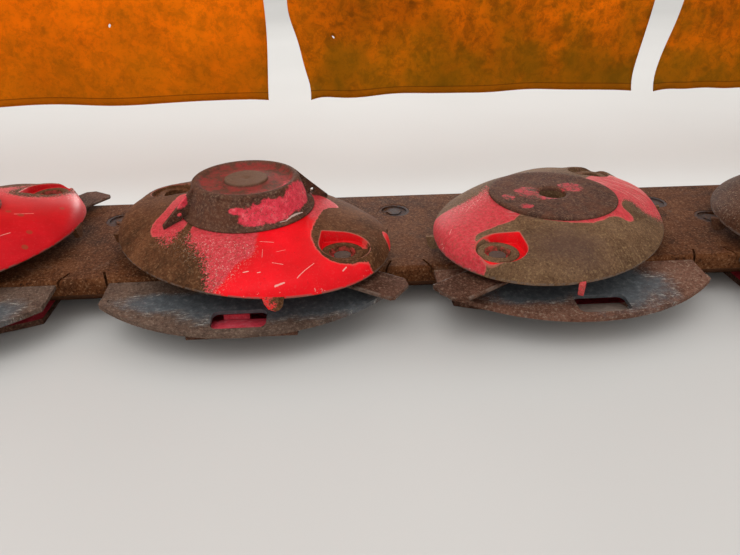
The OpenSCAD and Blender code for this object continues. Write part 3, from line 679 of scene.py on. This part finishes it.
# The pocket's raised ring and well, from the floor in: radius, and height over the floor
POCKET_RINGS = [
    (RING_R + 1.2, 0.0), (RING_R + 0.2, 0.7), (RING_R - 0.4, RING_H - 0.5), (RING_R - 1.4, RING_H),
    (RING_R - 4, RING_H - 0.2), (WELL_R + 1.4, RING_H), (WELL_R + 0.3, RING_H - 0.7), (WELL_R, RING_H - 2.2),
    (WELL_R, -WELL_DEPTH + 1.2),
    (WELL_R - 1.2, -WELL_DEPTH), (PIN_R - 0.5, -WELL_DEPTH)]


def from_pocket(plan, side):
    """Place of points from the knife bolt on one side: outwards, bearing, distance, and gap to the pocket's edge."""
    q = turned(plan, -side) - [BOLT_R, 0]
    far, bearing = polar(q)
    return q[:, 0], bearing, far, far - np.interp(bearing, POCKET_TURNS, POCKET_RADII, period=FULL_TURN)


def pocket_ring(radius, side):
    return turned(circle(radius, POCKET_TURNS) + [BOLT_R, 0], side)


def shell_height(plan, extra):
    """Dome with the blister round each pocket, the pocket's lip rounded and the rim's edge rolled over."""
    z = dome_height(plan, extra)
    inner = rim_gap(plan, extra)
    for side in SIDES:
        out, _, _, gap = from_pocket(plan, side)
        over = POCKET_Z + POCKET_RISE - math.tan(math.radians(POCKET_TILT)) * out - z
        rise = (over + np.sqrt(over ** 2 + 1.0)) / 2
        z = z + rise * (1 - smooth01(gap, 1.5, 14)) * smooth01(inner, 0, 5) - 0.7 * fall(gap, 1.6) ** 2
    return z - 1.6 * fall(inner, 2.2) ** 2


def disc_shell(extra):
    """Top, rim, inner skin and pockets of a disc, in its own frame with the knife bolts on +X and -X."""
    a = even_turns(SECTORS)
    rim = rim_radius(a, extra)
    rings = [circle(r, a) for r in (40, 60, 74, PLATEAU_R)]
    grid = np.concatenate(rings + [circle(PLATEAU_R + (rim - PLATEAU_R) * t, a) for t in RING_SHARES])
    loops, keep = [], np.ones(len(grid), bool)
    for side in SIDES:
        gap = from_pocket(grid, side)[3]
        keep &= (gap > 5.5) | ((rim_gap(grid, extra) < 0.5) & (gap > 0.8))
        loops.append((pocket_ring(POCKET_RADII, side), "hole"))
        for grow in (0.7, 1.6, 3.2):
            ring = pocket_ring(POCKET_RADII + grow, side)
            loops.append((ring[rim_gap(ring, extra) > 1.0], "free"))
    if extra == 0:
        loops.append((circle(BORE_R, even_turns(BORE_SIDES)), "hole"))
    out, tris = cut_sheet(grid[keep], loops)
    used = np.unique(tris)
    renumber = -np.ones(len(out), int)
    renumber[used] = np.arange(len(used))
    out, tris = out[used], renumber[tris]
    area = np.cross(out[tris[:, 1]] - out[tris[:, 0]], out[tris[:, 2]] - out[tris[:, 0]])
    tris[area < 0] = tris[area < 0][:, ::-1]
    parts = [(np.column_stack([out, shell_height(out, extra)]), tris)]
    if extra == 0:
        bore = [(0, 92), (6, 92), (7, 93), (BORE_R - 4, 93), (BORE_R, 95), (BORE_R, PLATEAU_Z)]
        parts.append(lathe(bore, BORE_SIDES))

    # the rolled rim, its underside and the inner skin
    heights = (shell_height(circle(rim, a), extra), RIM_Z + 0.8, RIM_Z, RIM_Z, RIM_Z + 1.2)
    skin = [np.column_stack([circle(rim - inset, a), z + np.zeros(SECTORS)])
            for inset, z in zip((0.0, 0.0, 0.9, 3.6, 4.6), heights)]
    for t in np.linspace(0.95, 0.05, 16):
        ring = circle(PLATEAU_R + (rim - SHEET - PLATEAU_R) * t, a)
        z = dome_height(ring, extra) - SHEET
        for side in SIDES:
            below = POCKET_Z - WELL_DEPTH - 1.5 + 30 * smooth01(from_pocket(ring, side)[3], 2, 10)
            z = np.minimum(z, below)
        skin.append(np.column_stack([ring, z]))
    parts.append((np.concatenate(skin), [face[-1:] + face[:-1] for face in bands(len(skin), SECTORS)]))

    # the pockets: wall, floor, raised ring and the well round the bolt
    for side in SIDES:
        top = shell_height(pocket_ring(POCKET_RADII, side), extra)
        steps = [(0, top), (0.9, np.maximum(top - 1.6, POCKET_Z + 0.4)), (1.5, POCKET_Z + 0.9), (2.6, POCKET_Z)]
        rings = [(POCKET_RADII - inset, z) for inset, z in steps]
        rings += [(np.minimum(POCKET_RADII - 2.8, r), POCKET_Z + h) for r, h in POCKET_RINGS]
        rows = [np.column_stack([pocket_ring(r, side), z + np.zeros(len(r))]) for r, z in rings]
        parts.append((np.concatenate(rows), bands(len(rows), len(POCKET_TURNS))))
    return parts


def disc_underside(extra, lug_turn):
    """Hub, spindle, knife bosses and lugs below the disc, as plain turned and cut shapes in the disc's own frame."""
    parts = [lathe([(0, 64), (17.5, 64), (17.5, 75), (30, 75), (38, 77), (38, PLATEAU_Z - SHEET)], 56)]
    boss = lathe([(10.4, 73), (20.5, 73), (22, 74.5), (22, 92), (28, POCKET_Z - 4), (30, POCKET_Z - 1)], 56)
    top, tip, half = RIM_Z + RIM_EDGE - 1, 65.5, 12
    outline = [(-half, top), (half, top), (half - 2.6, 71.5), (half - 7, tip + 0.8), (half - 11, tip),
               (-half / 2, 68), (-half + 1.5, 76)]
    plate = prism(outline, -LUG_T / 2, LUG_T / 2, 1)
    reach = rim_radius(math.radians(LUG_ANGLE), extra) - 2
    for side in SIDES:
        parts.append(moved(boss, spin(side) @ shift(BOLT_R, 0)))
        for angle in (-LUG_ANGLE, LUG_ANGLE):
            parts.append(moved(plate, spin(side + angle) @ shift(reach, 0) @ spin(lug_turn)))
    return parts


def box(left, near, right, far):
    return [(left, near), (right, near), (right, far), (left, far)]


ALL_OVER = box(-200, -200, 200, 200)
# Outlines of what is left of the paint on the discs, from the disc's axis, as they lie at rest
PAINT = {
    3: [
        [(-65, -65), (-70, -85), (-58, -100), (-47, -120), (-43, -135), (-38, -155), (-24, -184), (40, -195),
         (75, -195), (105, -180), (140, -160), (160, -125), (145, -125), (125, -138), (105, -135), (93, -122),
         (85, -105), (80, -82), (85, -58), (90, -35), (100, -5), (120, 0), (105, 30), (85, 45), (40, 40), (-40, 0)],
        [(-100, 70), (-105, 35), (-110, 0), (-120, -20), (-120, -40), (-105, -65), (-90, -85), (-80, -80), (-70, -55),
         (-60, 0), (-60, 40)],
        [(165, -60), (175, -40), (200, -50), (200, -85), (180, -80)],
    ],
    4: [
        [(-75, 60), (-75, 20), (-75, -15), (-65, -40), (-50, -55), (-65, -60), (-70, -70), (-85, -72), (-100, -78),
         (-116, -82), (-125, -94), (-122, -108), (-118, -126), (-120, -150), (-160, -125), (-185, -75), (-195, -50),
         (-190, -20), (-165, 5), (-140, 15), (-120, 20), (-100, 25), (-85, 40)],
        [(80, 85), (130, 110), (165, 90), (190, 40), (175, 5), (150, -30), (110, -40), (105, -20), (95, -15), (75, -40),
         (90, -60), (75, -75), (60, -65), (35, -82), (15, -88), (-10, -85), (-40, -75), (-50, -50), (-20, -40),
         (50, -40), (60, 40)],
    ],
    2: [[(-150, 60), (-120, 100), (-40, 122), (40, 115), (70, 150), (150, 160), (200, 120), (205, 0), (200, -200),
         (-200, -200), (-200, 0)]],
    5: [[(150, 30), (120, 60), (90, 40), (95, -30), (130, -60), (160, -20)],
        [(-60, -120), (-20, -140), (20, -130), (10, -100), (-40, -96)]],
    1: [[(90, -150), (150, -90), (165, -20), (130, 60), (70, 110), (-20, 130), (-60, 100), (-20, 40), (60, -20),
         (50, -100)],
        [(-150, -10), (-120, 60), (-90, 40), (-100, -40), (-130, -60)]],
    6: [[(-160, -60), (-120, -120), (-40, -150), (30, -150), (60, -110), (20, -60), (-60, -20), (-100, 30), (-150, 20)],
        [(60, 80), (110, 60), (150, 10), (160, 50), (110, 120), (60, 120)]],
}
# Where the paint has gone dull and pink
FADED = {
    3: [[(-130, -30), (-110, 40), (-90, 70), (-60, 20), (0, -60), (20, -75), (20, -100), (15, -120), (-5, -130),
         (-10, -145), (-20, -160), (-60, -160), (-120, -80)],
        [(80, -60), (95, -30), (125, 0), (90, 60), (60, 30)]],
    4: [ALL_OVER],
    5: [ALL_OVER],
    1: [box(-200, -200, 0, 200)],
    6: [box(-200, -200, 200, 0)],
}
# Where it is broken up into specks
SPECKLED = {
    3: [[(-120, -60), (-60, -110), (-42, -140), (-28, -168), (2, -145), (24, -112), (14, -96), (-40, -86), (-90, -50)]],
    4: [[(95, -50), (150, -40), (170, 0), (120, 10), (88, 0)],
        [(-150, -20), (-120, 30), (-80, 60), (-70, 10), (-92, -15)]],
    2: [[(40, 80), (90, 60), (150, 95), (190, 60), (200, 130), (120, 180), (40, 150)],
        [(-60, 130), (60, 130), (60, 100), (-60, 105)]],
    5: [ALL_OVER],
    1: [box(0, -200, 200, 0)],
    6: [box(-200, -200, 0, 0)],
}
# Where the paint is rubbed pale in streaks
SCUFFED = {
    4: [[(60, 60), (80, 100), (130, 115), (170, 90), (150, 20), (120, 0), (95, 20)],
        [(-50, -70), (-75, -50), (-60, -35), (-35, -70)]],
    5: [box(80, -40, 160, 60)],
    1: [[(0, 80), (60, 140), (-60, 140)]],
    6: [[(0, -100), (60, -150), (-60, -150)]],
}
# Scratches, from the disc's axis: start, end and width
SCRATCHES = {
    3: [((22, -99), (38, -101), 1.0), ((66, -161), (84, -139), 1.3), ((38, -136), (50, -140), 1.0),
        ((42, -118), (52, -115), 0.7), ((26, -113), (26, -126), 0.6), ((6, -144), (12, -144), 1.8),
        ((22, -148), (25, -148), 1.8), ((42, -167), (52, -165), 2.2), ((116, -146), (120, -141), 1.8)],
    4: [((-120, -20), (-104, 2), 0.6), ((-150, -70), (-146, -60), 0.8)],
    2: [((90, -60), (110, -30), 1.2), ((60, -90), (70, -80), 1.4), ((100, 10), (118, 22), 1.1)],
}
RUST_TONES = {1: BROWN, 2: BROWN, 3: BROWN, 4: OLIVE, 5: DARK_BROWN, 6: OLIVE}


def line_at(distance, peak, width):
    """1 along a line, falling to 0 beside it. A peak over 1 makes it broader."""
    return np.clip(peak - np.abs(distance) / width, 0, 1)


def paint_marks(k, plan, local, height, extra):
    """Where paint is left (above 0), faded, speckled, scuffed, lipped and worn, for points of disc k."""
    paint, fade, speckle, scuff = (deepest(plan, table.get(k, [])) for table in (PAINT, FADED, SPECKLED, SCUFFED))
    pocket, worn_pocket = np.zeros((2, len(plan)), bool)
    lip = np.zeros(len(plan))
    for side in SIDES:
        _, bearing, far, gap = from_pocket(local, side)
        uphill = np.cos(bearing + math.radians(side + DISC_ANGLE[k]) - math.radians(115))
        inside = gap < 0.4
        if (k, side) == (4, 180):
            worn_pocket = inside
            continue
        recess = 8 * np.minimum(1.6 - gap, far - RING_R - 0.3)
        if k == 3:
            recess = np.minimum(recess, 6 * (uphill + 0.15))
        well = np.where(far < PIN_R + 1, -6.0, np.minimum(WELL_R + 0.6 - far, 6.0)) * np.where(uphill > -0.35, 1, -1)
        if k == 5 or (k, side) == (3, 180):
            recess, well = recess - 20, well - 20
        paint = np.where(inside, np.maximum(recess, np.where(far < WELL_R + 0.6, well, -8)), paint)
        if k not in (3, 4):
            spread = fall(np.abs((np.degrees(bearing) + 165 + 180) % 360 - 180), 75)
            land = np.minimum(gap - 1.0, 13 * spread - gap)
            paint = np.where(gap > 0.4, np.minimum(paint, -land), paint)
        ring_lip = line_at(far - RING_R - 0.4, 1.2, 1.5) * (0.45 + 0.35 * uphill)
        well_lip = line_at(far - WELL_R - 1.0, 1.2, 1.3) * 0.6
        edge_lip = np.where(gap > -0.3, line_at(gap - 0.5, 1.5, 1.1), 0)
        lip = reduce(np.maximum, (lip, edge_lip, np.where(inside, ring_lip, 0), np.where(inside, well_lip, 0)))
        pocket |= inside
    inner = rim_gap(local, extra)
    paint = np.where((height < RIM_Z + 2.0) & (inner < 6), -8, paint)

    def apart(in_worn, in_pocket, elsewhere):
        return np.where(worn_pocket, in_worn, np.where(pocket, in_pocket, np.clip(elsewhere, 0, 1)))

    return {
        "paint": np.clip(paint / 20, -1, 1),
        "fade": apart(1.0, 0.30, 0.5 + fade / 20),
        "speckle": np.where(pocket, 0.05, np.clip(0.45 + speckle / 14, 0, 1)),
        "scuff": apart(0.8, 0, 0.5 + scuff / 12),
        "lip": lip,
        "worn": fall(inner, 5),
    }


def make_discs():
    shells = {extra: disc_shell(extra) for extra in (0, HAT_EXTRA)}
    for k in DISCS:
        extra = HAT_EXTRA if k in HATS else 0
        points, faces = joined(shells[extra] + disc_underside(extra, LUG_TURN[k]))
        local = np.array(points)
        plan = turned(local[:, :2], DISC_ANGLE[k])
        marks = paint_marks(k, plan, local[:, :2], local[:, 2], extra)
        below = slice(sum(len(p) for p, _ in shells[extra]), None)
        front = np.where((plan[below, 0] > 44) & (k == 3), -0.10, 0.16)
        under = {"paint": np.where(plan[below, 1] > -60, -0.3, front), "fade": 1.0 if k == 4 else 0.3, "speckle": 0.22}
        for mark in marks:
            marks[mark][below] = under.get(mark, 0)
        centre = AXIS[k]
        scratches = placed(k, SCRATCHES)
        stain = at(centre, (-22, -122, 95)) if k == 4 else None
        depth = 0.72 if k == 2 else 1.0
        material = disc_paint(f"disc_paint_{k}", RUST_TONES[k], centre, 5.0 * k, scratches, k == 2, depth, stain)
        world = np.column_stack([plan + centre, local[:, 2]])
        obj = mesh_object(f"disc_shell_{k}", world, faces, material, f"rotor_{k}", "disc_paint", marks, sharp=38)
        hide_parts(f"disc_{k}")


# Hats and caps

def dome_low(radius):
    """Height of the dome under the vane."""
    return float(dome_height(circle(radius, np.radians([VANE_ANGLE])), HAT_EXTRA)[0])


def vane_part():
    """One vane: a plate from the hat's shoulder down to the disc, with a small hole near its foot."""
    foot, top = PLATEAU_R + 3, PLATEAU_Z + HAT_H
    low, high = [], []
    for x in np.linspace(60, VANE_REACH, 19):
        slope = max(0.0, (x - (HAT_TOP_R - 1)) / (VANE_REACH - HAT_TOP_R + 1)) ** 0.96
        low.append((x, PLATEAU_Z + 3 if x < foot else dome_low(x) + 0.8))
        high.append((x, top - 2 - (top - 7 - dome_low(VANE_REACH)) * slope))
    outer = np.array(low + high[::-1])
    hole = circle(VANE_HOLE_R, even_turns(20)) + VANE_HOLE
    flat, tris = cut_sheet(np.zeros((0, 2)), [(outer, "edge"), (hole, "hole")])
    n, m, count = len(outer), len(hole), len(flat)
    points = [(x, depth, z) for depth in (-VANE_T / 2, VANE_T / 2) for x, z in flat]
    faces = [tuple(t) for t in tris] + [(c + count, b + count, a + count) for a, b, c in tris]
    faces += [(i, i + count, (i + 1) % n + count, (i + 1) % n) for i in range(n)]
    faces += [(n + i, n + (i + 1) % m, n + (i + 1) % m + count, n + i + count) for i in range(m)]
    return points, faces


# Red left on the hats, from the disc's axis: place and radius each way. Scuffs are as the scratches.
HAT_PATCHES = {
    1: [((-40, 50, 134), (44, 30, 14)), ((60, -40, 130), (20, 30, 8))],
    3: [((44, -64, 138), (40, 28, 13)), ((66, -30, 142), (26, 36, 16)), ((-78, -36, 143), (9, 12, 10)),
        ((20, -78, 134), (26, 12, 9)), ((-4, -78, 142), (14, 10, 5))],
    6: [((10, -76, 132), (60, 20, 12)), ((-60, 40, 136), (30, 30, 12))],
}
HAT_SCUFFS = {3: [((52, -60), (70, -38), 1.6), ((44, -66), (52, -61), 1.3)]}
# Red left on the flat caps, as on the hats
CAP_TOP = PLATEAU_Z + 4
CAP_PATCHES = {
    2: [((0, 0, CAP_TOP), (80, 60, 6)), ((50, 30, CAP_TOP), (30, 30, 6))],
    4: [((-30, 2, CAP_TOP), (17, 20, 6)), ((-13, -17, CAP_TOP), (15, 8, 6)), ((31, 16, CAP_TOP), (16, 17, 6)),
        ((-62, -10, CAP_TOP), (8, 9, 6)), ((-48, -41, CAP_TOP), (9, 8, 6))],
    5: [((40, -30, CAP_TOP), (16, 10, 6))],
}


def make_hats():
    base, top, slope_r = PLATEAU_Z, PLATEAU_Z + HAT_H, PLATEAU_R - 5.2
    run, climb = HAT_TOP_R - 0.8 - slope_r, HAT_H - 12.5
    profile = [(0, base + 0.2)]
    profile += [(PLATEAU_R + r, base + z) for r, z in ((1.2, 0.2), (1.6, 1.2), (1.2, 2.4), (-1.5, 3.4), (-4, 4.8))]
    profile += [(slope_r + run * t, base + 7 + climb * t) for t in (0, 0.15, 0.3, 0.45, 0.6, 0.75, 0.9, 1.0)]
    profile += [(HAT_TOP_R - r, top - z) for r, z in (
        (0.9, 3.4), (1.6, 1.7), (3, 0.5), (5, 0), (8.5, 0.2), (10.5, 1.6), (12.5, 4), (16, 4.9), (26, 5.2))]
    profile += [(HAT_PLATE_R + r, top - z) for r, z in ((2, 4.8), (0.6, 4), (0, 1.9), (-1.2, 1), (-7, 0.8))]
    profile += [(r, top - z) for r, z in ((9, 1.1), (5, 1.5), (2, 3.0), (0, 3.2))]
    vane = vane_part()
    points, faces = joined([lathe(profile, TURNED_SIDES)] + [moved(vane, spin(VANE_ANGLE + side)) for side in SIDES])
    local = np.array(points)
    radius, z = polar(local)[0], local[:, 2]
    high = z > top - 6
    marks = {
        "dish": np.where(high, np.clip((HAT_TOP_R - 8 - radius) / 3, 0, 1) * np.clip(radius - HAT_PLATE_R, 0, 1), 0),
        "plate": np.where(high & (radius < HAT_PLATE_R + 0.2), 1.0, 0.0),
        "foot": fall(z - base - 5, 6) * np.clip((PLATEAU_R + 4 - radius) / 3, 0, 1),
    }
    for k in HATS:
        turned_hat, _ = moved((points, faces), shift(*AXIS[k]) @ spin(DISC_ANGLE[k]))
        material = hat_material(f"hat_steel_{k}", 4.0 * k, placed(k, HAT_PATCHES), placed(k, HAT_SCUFFS))
        obj = mesh_object(f"hat_steel_{k}", turned_hat, faces, material, f"rotor_{k}", "hat_steel", marks, sharp=34)
        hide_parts(f"hat_{k}")


def make_caps():
    base = PLATEAU_Z
    start = (BORE_R, base + 0.2)
    edge = ((-0.2, 0.3), (0, 2.0), (-0.6, 3.2), (-2, 3.8), (-8, 3.9))
    profile = [start] + [(PLATEAU_R + r, base + z) for r, z in edge]
    profile += [(r, base + z) for r, z in ((50, 4.1), (30, 4.4), (24, 4.6), (20.2, 4.3))]
    profile += [(BORE_R + r, base + z) for r, z in ((0.8, 3.2), (0.2, 1.6))] + [start]
    plate = lathe(profile, TURNED_SIDES)
    for k in CAP_PATCHES:
        points, faces = moved(plate, shift(*AXIS[k]))
        material = hat_material(f"cap_steel_{k}", 3.0 * k + 1, placed(k, CAP_PATCHES), red=0.7)
        obj = mesh_object(f"cap_plate_{k}", points, faces, material, f"rotor_{k}", "hat_steel", sharp=34)
        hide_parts(f"cap_{k}")


# Curtain

FLAPS = [(-1244, -785), (-735, -187), (-120, 429), (465, 1030), (1080, 1238)]
SHOULDERS = [(-1244, -775), (-745, -187), (-150, 444), (490, 1030), (1080, 1238)]
SHOULDER_UP = 151
ROW_SHIFT = (-100, -82)
HEM_Z, FLAP_TOP_Z, FLAP_Y, FLAP_T = 184, 551, 298.2, 2.4
MESH_STEP = 7.5
# Holes and nicks of a flap: place from its left edge and its hem, and radius
HOLES = {
    1: [(150, 160, 2.2)],
    2: [(320, 120, 2.4), (210, 260, 1.6)],
    3: [(193, 255, 2.6), (408, 272, 2.2), (484, 300, 3.4), (492, 268, 2.6), (514, 318, 2.6), (60, 96, 1.8)],
    4: [(120, 210, 2.2), (380, 90, 2.8)],
    5: [(80, 140, 2.0)],
}


def ragged(seed, along, count, most, lengths):
    """A torn line: waves of chance height, length and start."""
    rng = np.random.default_rng(seed)
    return sum(rng.uniform(0.2, most) * np.sin(along / rng.uniform(*lengths) + rng.uniform(0, 6)) for _ in range(count))


def flap_shape(k, u, v, width, height):
    """How far u across and v up lie out of the flap's plane: waves that grow to the hem, and curled corners."""
    rng = np.random.default_rng(90 + k)
    slack = (1 - v / height) ** 1.3
    out = 5.5 * slack * np.sin(u / rng.uniform(80, 120) + rng.uniform(0, 6))
    out = out + 3.0 * slack * np.sin(u / rng.uniform(30, 46) + v / 90 + rng.uniform(0, 6))
    out = out + np.sin(v / 60 + u / 150)
    for corner, turn, reach in ((0, 26 if k == 3 else 9, 38), (width, 8, 40)):
        out += -turn * fall(np.hypot((u - corner) / reach, v / (reach * 0.9))) ** 2
    return out


def make_curtain():
    material = curtain_material("curtain_fabric")
    height = FLAP_TOP_Z - HEM_Z
    for number, ((left, right), (left_up, right_up)) in enumerate(zip(FLAPS, SHOULDERS), 1):
        width = right_up - left_up
        us = np.linspace(0, width, int(width / MESH_STEP) + 1)
        vs = np.linspace(0, height, int(height / MESH_STEP) + 1)
        grid = np.array([(u, v) for v in vs for u in us])
        loops = []
        for u, v, r in HOLES[number]:
            turns = even_turns(14)
            loops.append((circle(r * (1 + 0.25 * np.sin(2 * turns + u)), turns) + [u, v], "hole"))
            grid = grid[np.hypot(grid[:, 0] - u, grid[:, 1] - v) > r + 2.5]
        out, tris = cut_sheet(grid, loops)
        u, v = out[:, 0], out[:, 1]
        drawn_in = 1 - smooth01(v, 0, SHOULDER_UP + 20)
        x_left = left_up + (left - left_up) * drawn_in
        x_right = right_up + (right - right_up) * drawn_in
        tears = [1.1 * ragged(40 + 2 * number + side, v, 6, 0.9, (9, 60)) for side in (0, 1)]
        free = np.clip((height - v) / 60, 0, 1)
        x = x_left + (x_right - x_left) * u / width
        x = x + free * (fall(u, 40) * tears[0] + fall(width - u, 40) * tears[1])
        sag = {2: -7 * (1 - u / width), 3: 4 * np.sin(math.pi * u / width)}.get(number, 0)
        z = HEM_Z + v + fall(v, 40) * (ragged(60 + number, u, 7, 0.8, (8, 70)) + 2.0) + fall(v, 200) * sag
        y = FLAP_Y + flap_shape(number, u, v, width, height) * np.clip((height - v) / 80, 0, 1)
        points = np.column_stack([x + ROW_SHIFT[0], y + ROW_SHIFT[1], z])
        marks = {"hem": fall(np.abs(v - 5), 9), "low": fall(v, height)}
        obj = mesh_object(f"curtain_{number}", points, tris, material, "frame", "curtain_fabric", marks, sharp=180)
        thick = obj.modifiers.new("thickness", "SOLIDIFY")
        thick.thickness = FLAP_T * MM
        thick.offset = 0
        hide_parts(f"curtain_flap_{number}")
        narrower = (width - (right - left)) * SHOULDER_UP / 2


# Small fasteners and shoe fronts

RISERS = {
    "red": ((1, 3, 5), ((0.55, 0.030, 0.045), (0.85, 0.060, 0.095), (0.85, 0.16, 0.20))),
    "brown": ((2, 4, 6), ((0.12, 0.08, 0.06), (0.22, 0.16, 0.13), (0.32, 0.25, 0.20))),
}
RISER_PLATE = [(-254, 40), (-252, 41.5), (-216, 31.5), (-216, 29.5)]
RISER_BAR = [(-213, 30), (-213, 36.5), (-207, 38), (-207, 30)]
RAIL_Y, SEAT_GAPS, STRIP_T, CAD_FLAP_T = 300, 0.6, 5, 3
STRIP_BOLT_Z, BOLT_SPACING, BOLT_INSET = 535, 150, 30
WASHER_H = 2.0


def hex_bolt(radius, head, washer):
    """Hexagon head on a washer, its axis along +Z from the seat."""
    top = WASHER_H + head
    ring = lathe([(0, 0), (washer, 0), (washer, 1.6), (washer - 0.6, WASHER_H), (0, WASHER_H)], 32)
    hexagon = lathe([(0, WASHER_H), (radius, WASHER_H), (radius, top - 1.0), (radius - 1.2, top), (0, top)], 6)
    return joined([ring, hexagon])


def make_shoe_risers():
    """Fronts of the skid shoes behind the guards' slots: red with a bar behind on three, brown on the others."""
    for name, (chosen, tones) in RISERS.items():
        parts = []
        for k in chosen:
            x = AXIS[k][0] + SLOT_SHIFT.get(k, 0)
            parts.append(prism(RISER_PLATE, x - 34, x + 34, 0))
            if name == "red":
                parts.append(prism(RISER_BAR, x - 22, x + 8, 0))
        mesh_object(f"shoe_fronts_{name}", *joined(parts), riser_material(f"riser_{name}", tones), "frame")


def make_fasteners():
    steel = steel_material("fastener_steel", 55, (0.22, 0.18, 0.15), 0.5, 0.55)
    bolt = hex_bolt(7.5, 5, 10)
    strip_front = RAIL_Y - SEAT_GAPS - CAD_FLAP_T - STRIP_T + ROW_SHIFT[1]
    parts = []
    for left, right in FLAPS:
        count = max(2, round((right - left) / BOLT_SPACING))
        for i in range(count):
            x = left + BOLT_INSET + (right - left - 2 * BOLT_INSET) * i / (count - 1)
            parts.append(moved(bolt, shift(x + ROW_SHIFT[0], strip_front, STRIP_BOLT_Z) @ spin(90, "X")))
    mesh_object("strip_bolts", *joined(parts), steel, "frame")


# Carried-over CAD nodes

# Bare steel in the middle of the guards, from the disc's axis: place and radius each way
STEEL_PATCHES = {
    3: [((40, -128, 50), (130, 34, 40)), ((-80, -120, 50), (60, 18, 40))],
    4: [((38, -124, 50), (66, 46, 40)), ((-60, -130, 50), (60, 24, 40))],
}
PLAIN_STEEL = [((20, -130, 50), (120, 34, 40))]


def soften(obj, width):
    bevel = obj.modifiers.new("edges", "BEVEL")
    bevel.width = width * MM
    bevel.segments = 2
    bevel.limit_method = "ANGLE"
    bevel.angle_limit = math.radians(40)
    bevel.harden_normals = False


def assign(material, *names):
    for name in names:
        obj = nodes[name]
        obj.data.materials.clear()
        obj.data.materials.append(material)
        for polygon in obj.data.polygons:
            polygon.material_index = 0


def dress_nodes():
    assign(rusty("bar_steel", BAR_BROWN, 1, 0.7, ((0.118, 0.074, 0.052), 0.36)), "cutter_bar")
    assign(rusty("housing_iron", GREY_BROWN, 2), "bearing_housings")
    assign(rusty("plug_steel", BAR_BROWN, 3, patches=((0.070, 0.068, 0.072), 0.5)), "bar_plugs")
    assign(shoe_material("shoe_steel"), "skid_shoes")
    assign(rusty("end_steel", BROWN, 6), "inner_shoe", "outer_shoe", "hinge_ears")
    assign(old_paint("gearbox_paint", 21, 0.56), "drive_gearbox")
    assign(steel_material("shaft_steel", 22), "input_shaft")
    assign(old_paint("frame_paint", 31, 0.52), "inner_post", "outer_post", "curtain_rail")
    assign(rusty("strip_steel", RED_BROWN, 33), "clamp_strips")
    for k in DISCS:
        steel = placed(k, STEEL_PATCHES, PLAIN_STEEL)
        tones = GUARD_RED if k == 4 else GUARD_BROWN
        assign(guard_material(f"guard_steel_{k}", steel, 40 + 3 * k, tones), f"guard_{k}")
        soften(nodes[f"guard_{k}"], 1.0)
        for side, seed in (("a", 7 * k), ("b", 7 * k + 3)):
            assign(knife_material(f"knife_steel_{k}{side}", seed), f"knife_{k}{side}")
        assign(steel_material(f"bolt_steel_{k}", 50 + k, (0.10, 0.068, 0.055), 0.0, 0.7), f"knife_bolts_{k}")
    for obj in nodes.values():
        if not obj.hide_render:
            shade(obj.data)


# Stage

FLOOR_HALF = 40


def lamp(name, place, aim, size_x, size_y, power, colour=(1, 1, 1), spread=180):
    data = bpy.data.lights.new(name, "AREA")
    data.shape = "RECTANGLE"
    data.size, data.size_y, data.energy, data.color = size_x, size_y, power, colour
    data.spread = math.radians(spread)
    obj = new_object(name, data)
    obj.location = place
    obj.rotation_mode = "QUATERNION"
    obj.rotation_quaternion = (Vector(aim) - Vector(place)).to_track_quat("-Z", "Y")


def make_stage():
    h = FLOOR_HALF
    mesh = bpy.data.meshes.new("floor")
    mesh.from_pydata([(-h, -h, 0), (h, -h, 0), (h, h, 0), (-h, h, 0)], [], [(0, 1, 2, 3)])
    mesh.materials.append(floor_material())
    floor = new_object("floor", mesh)

    world = bpy.data.worlds.new("studio")
    bpy.context.scene.world = world
    world.use_nodes = True
    tree = world.node_tree
    tree.nodes.clear()
    path = tree.nodes.new("ShaderNodeLightPath")
    mix = tree.nodes.new("ShaderNodeMixShader")
    tree.links.new(path.outputs["Is Camera Ray"], mix.inputs[0])
    # what lights the scene, and what the camera sees behind it
    for number, colour in enumerate(((1.0, 0.99, 0.97, 1), (0.86, 0.85, 0.84, 1)), 1):
        light = tree.nodes.new("ShaderNodeBackground")
        light.inputs["Color"].default_value = colour
        tree.links.new(light.outputs[0], mix.inputs[number])
    tree.links.new(mix.outputs[0], tree.nodes.new("ShaderNodeOutputWorld").inputs[0])

    lamp("key", (-1.2, -1.6, 3.2), (-0.1, -0.1, 0.1), 2.6, 2.6, 32)
    lamp("rear", (0.2, 3.8, 1.15), (0, 0.2, 0.36), 5.0, 1.4, 20, (1.0, 0.98, 0.95), 45)
    bpy.context.scene.view_settings.view_transform = "Standard"


make_camera()
make_discs()
make_hats()
make_caps()
make_curtain()
make_shoe_risers()
make_fasteners()
dress_nodes()
make_stage()
bpy.context.view_layer.update()
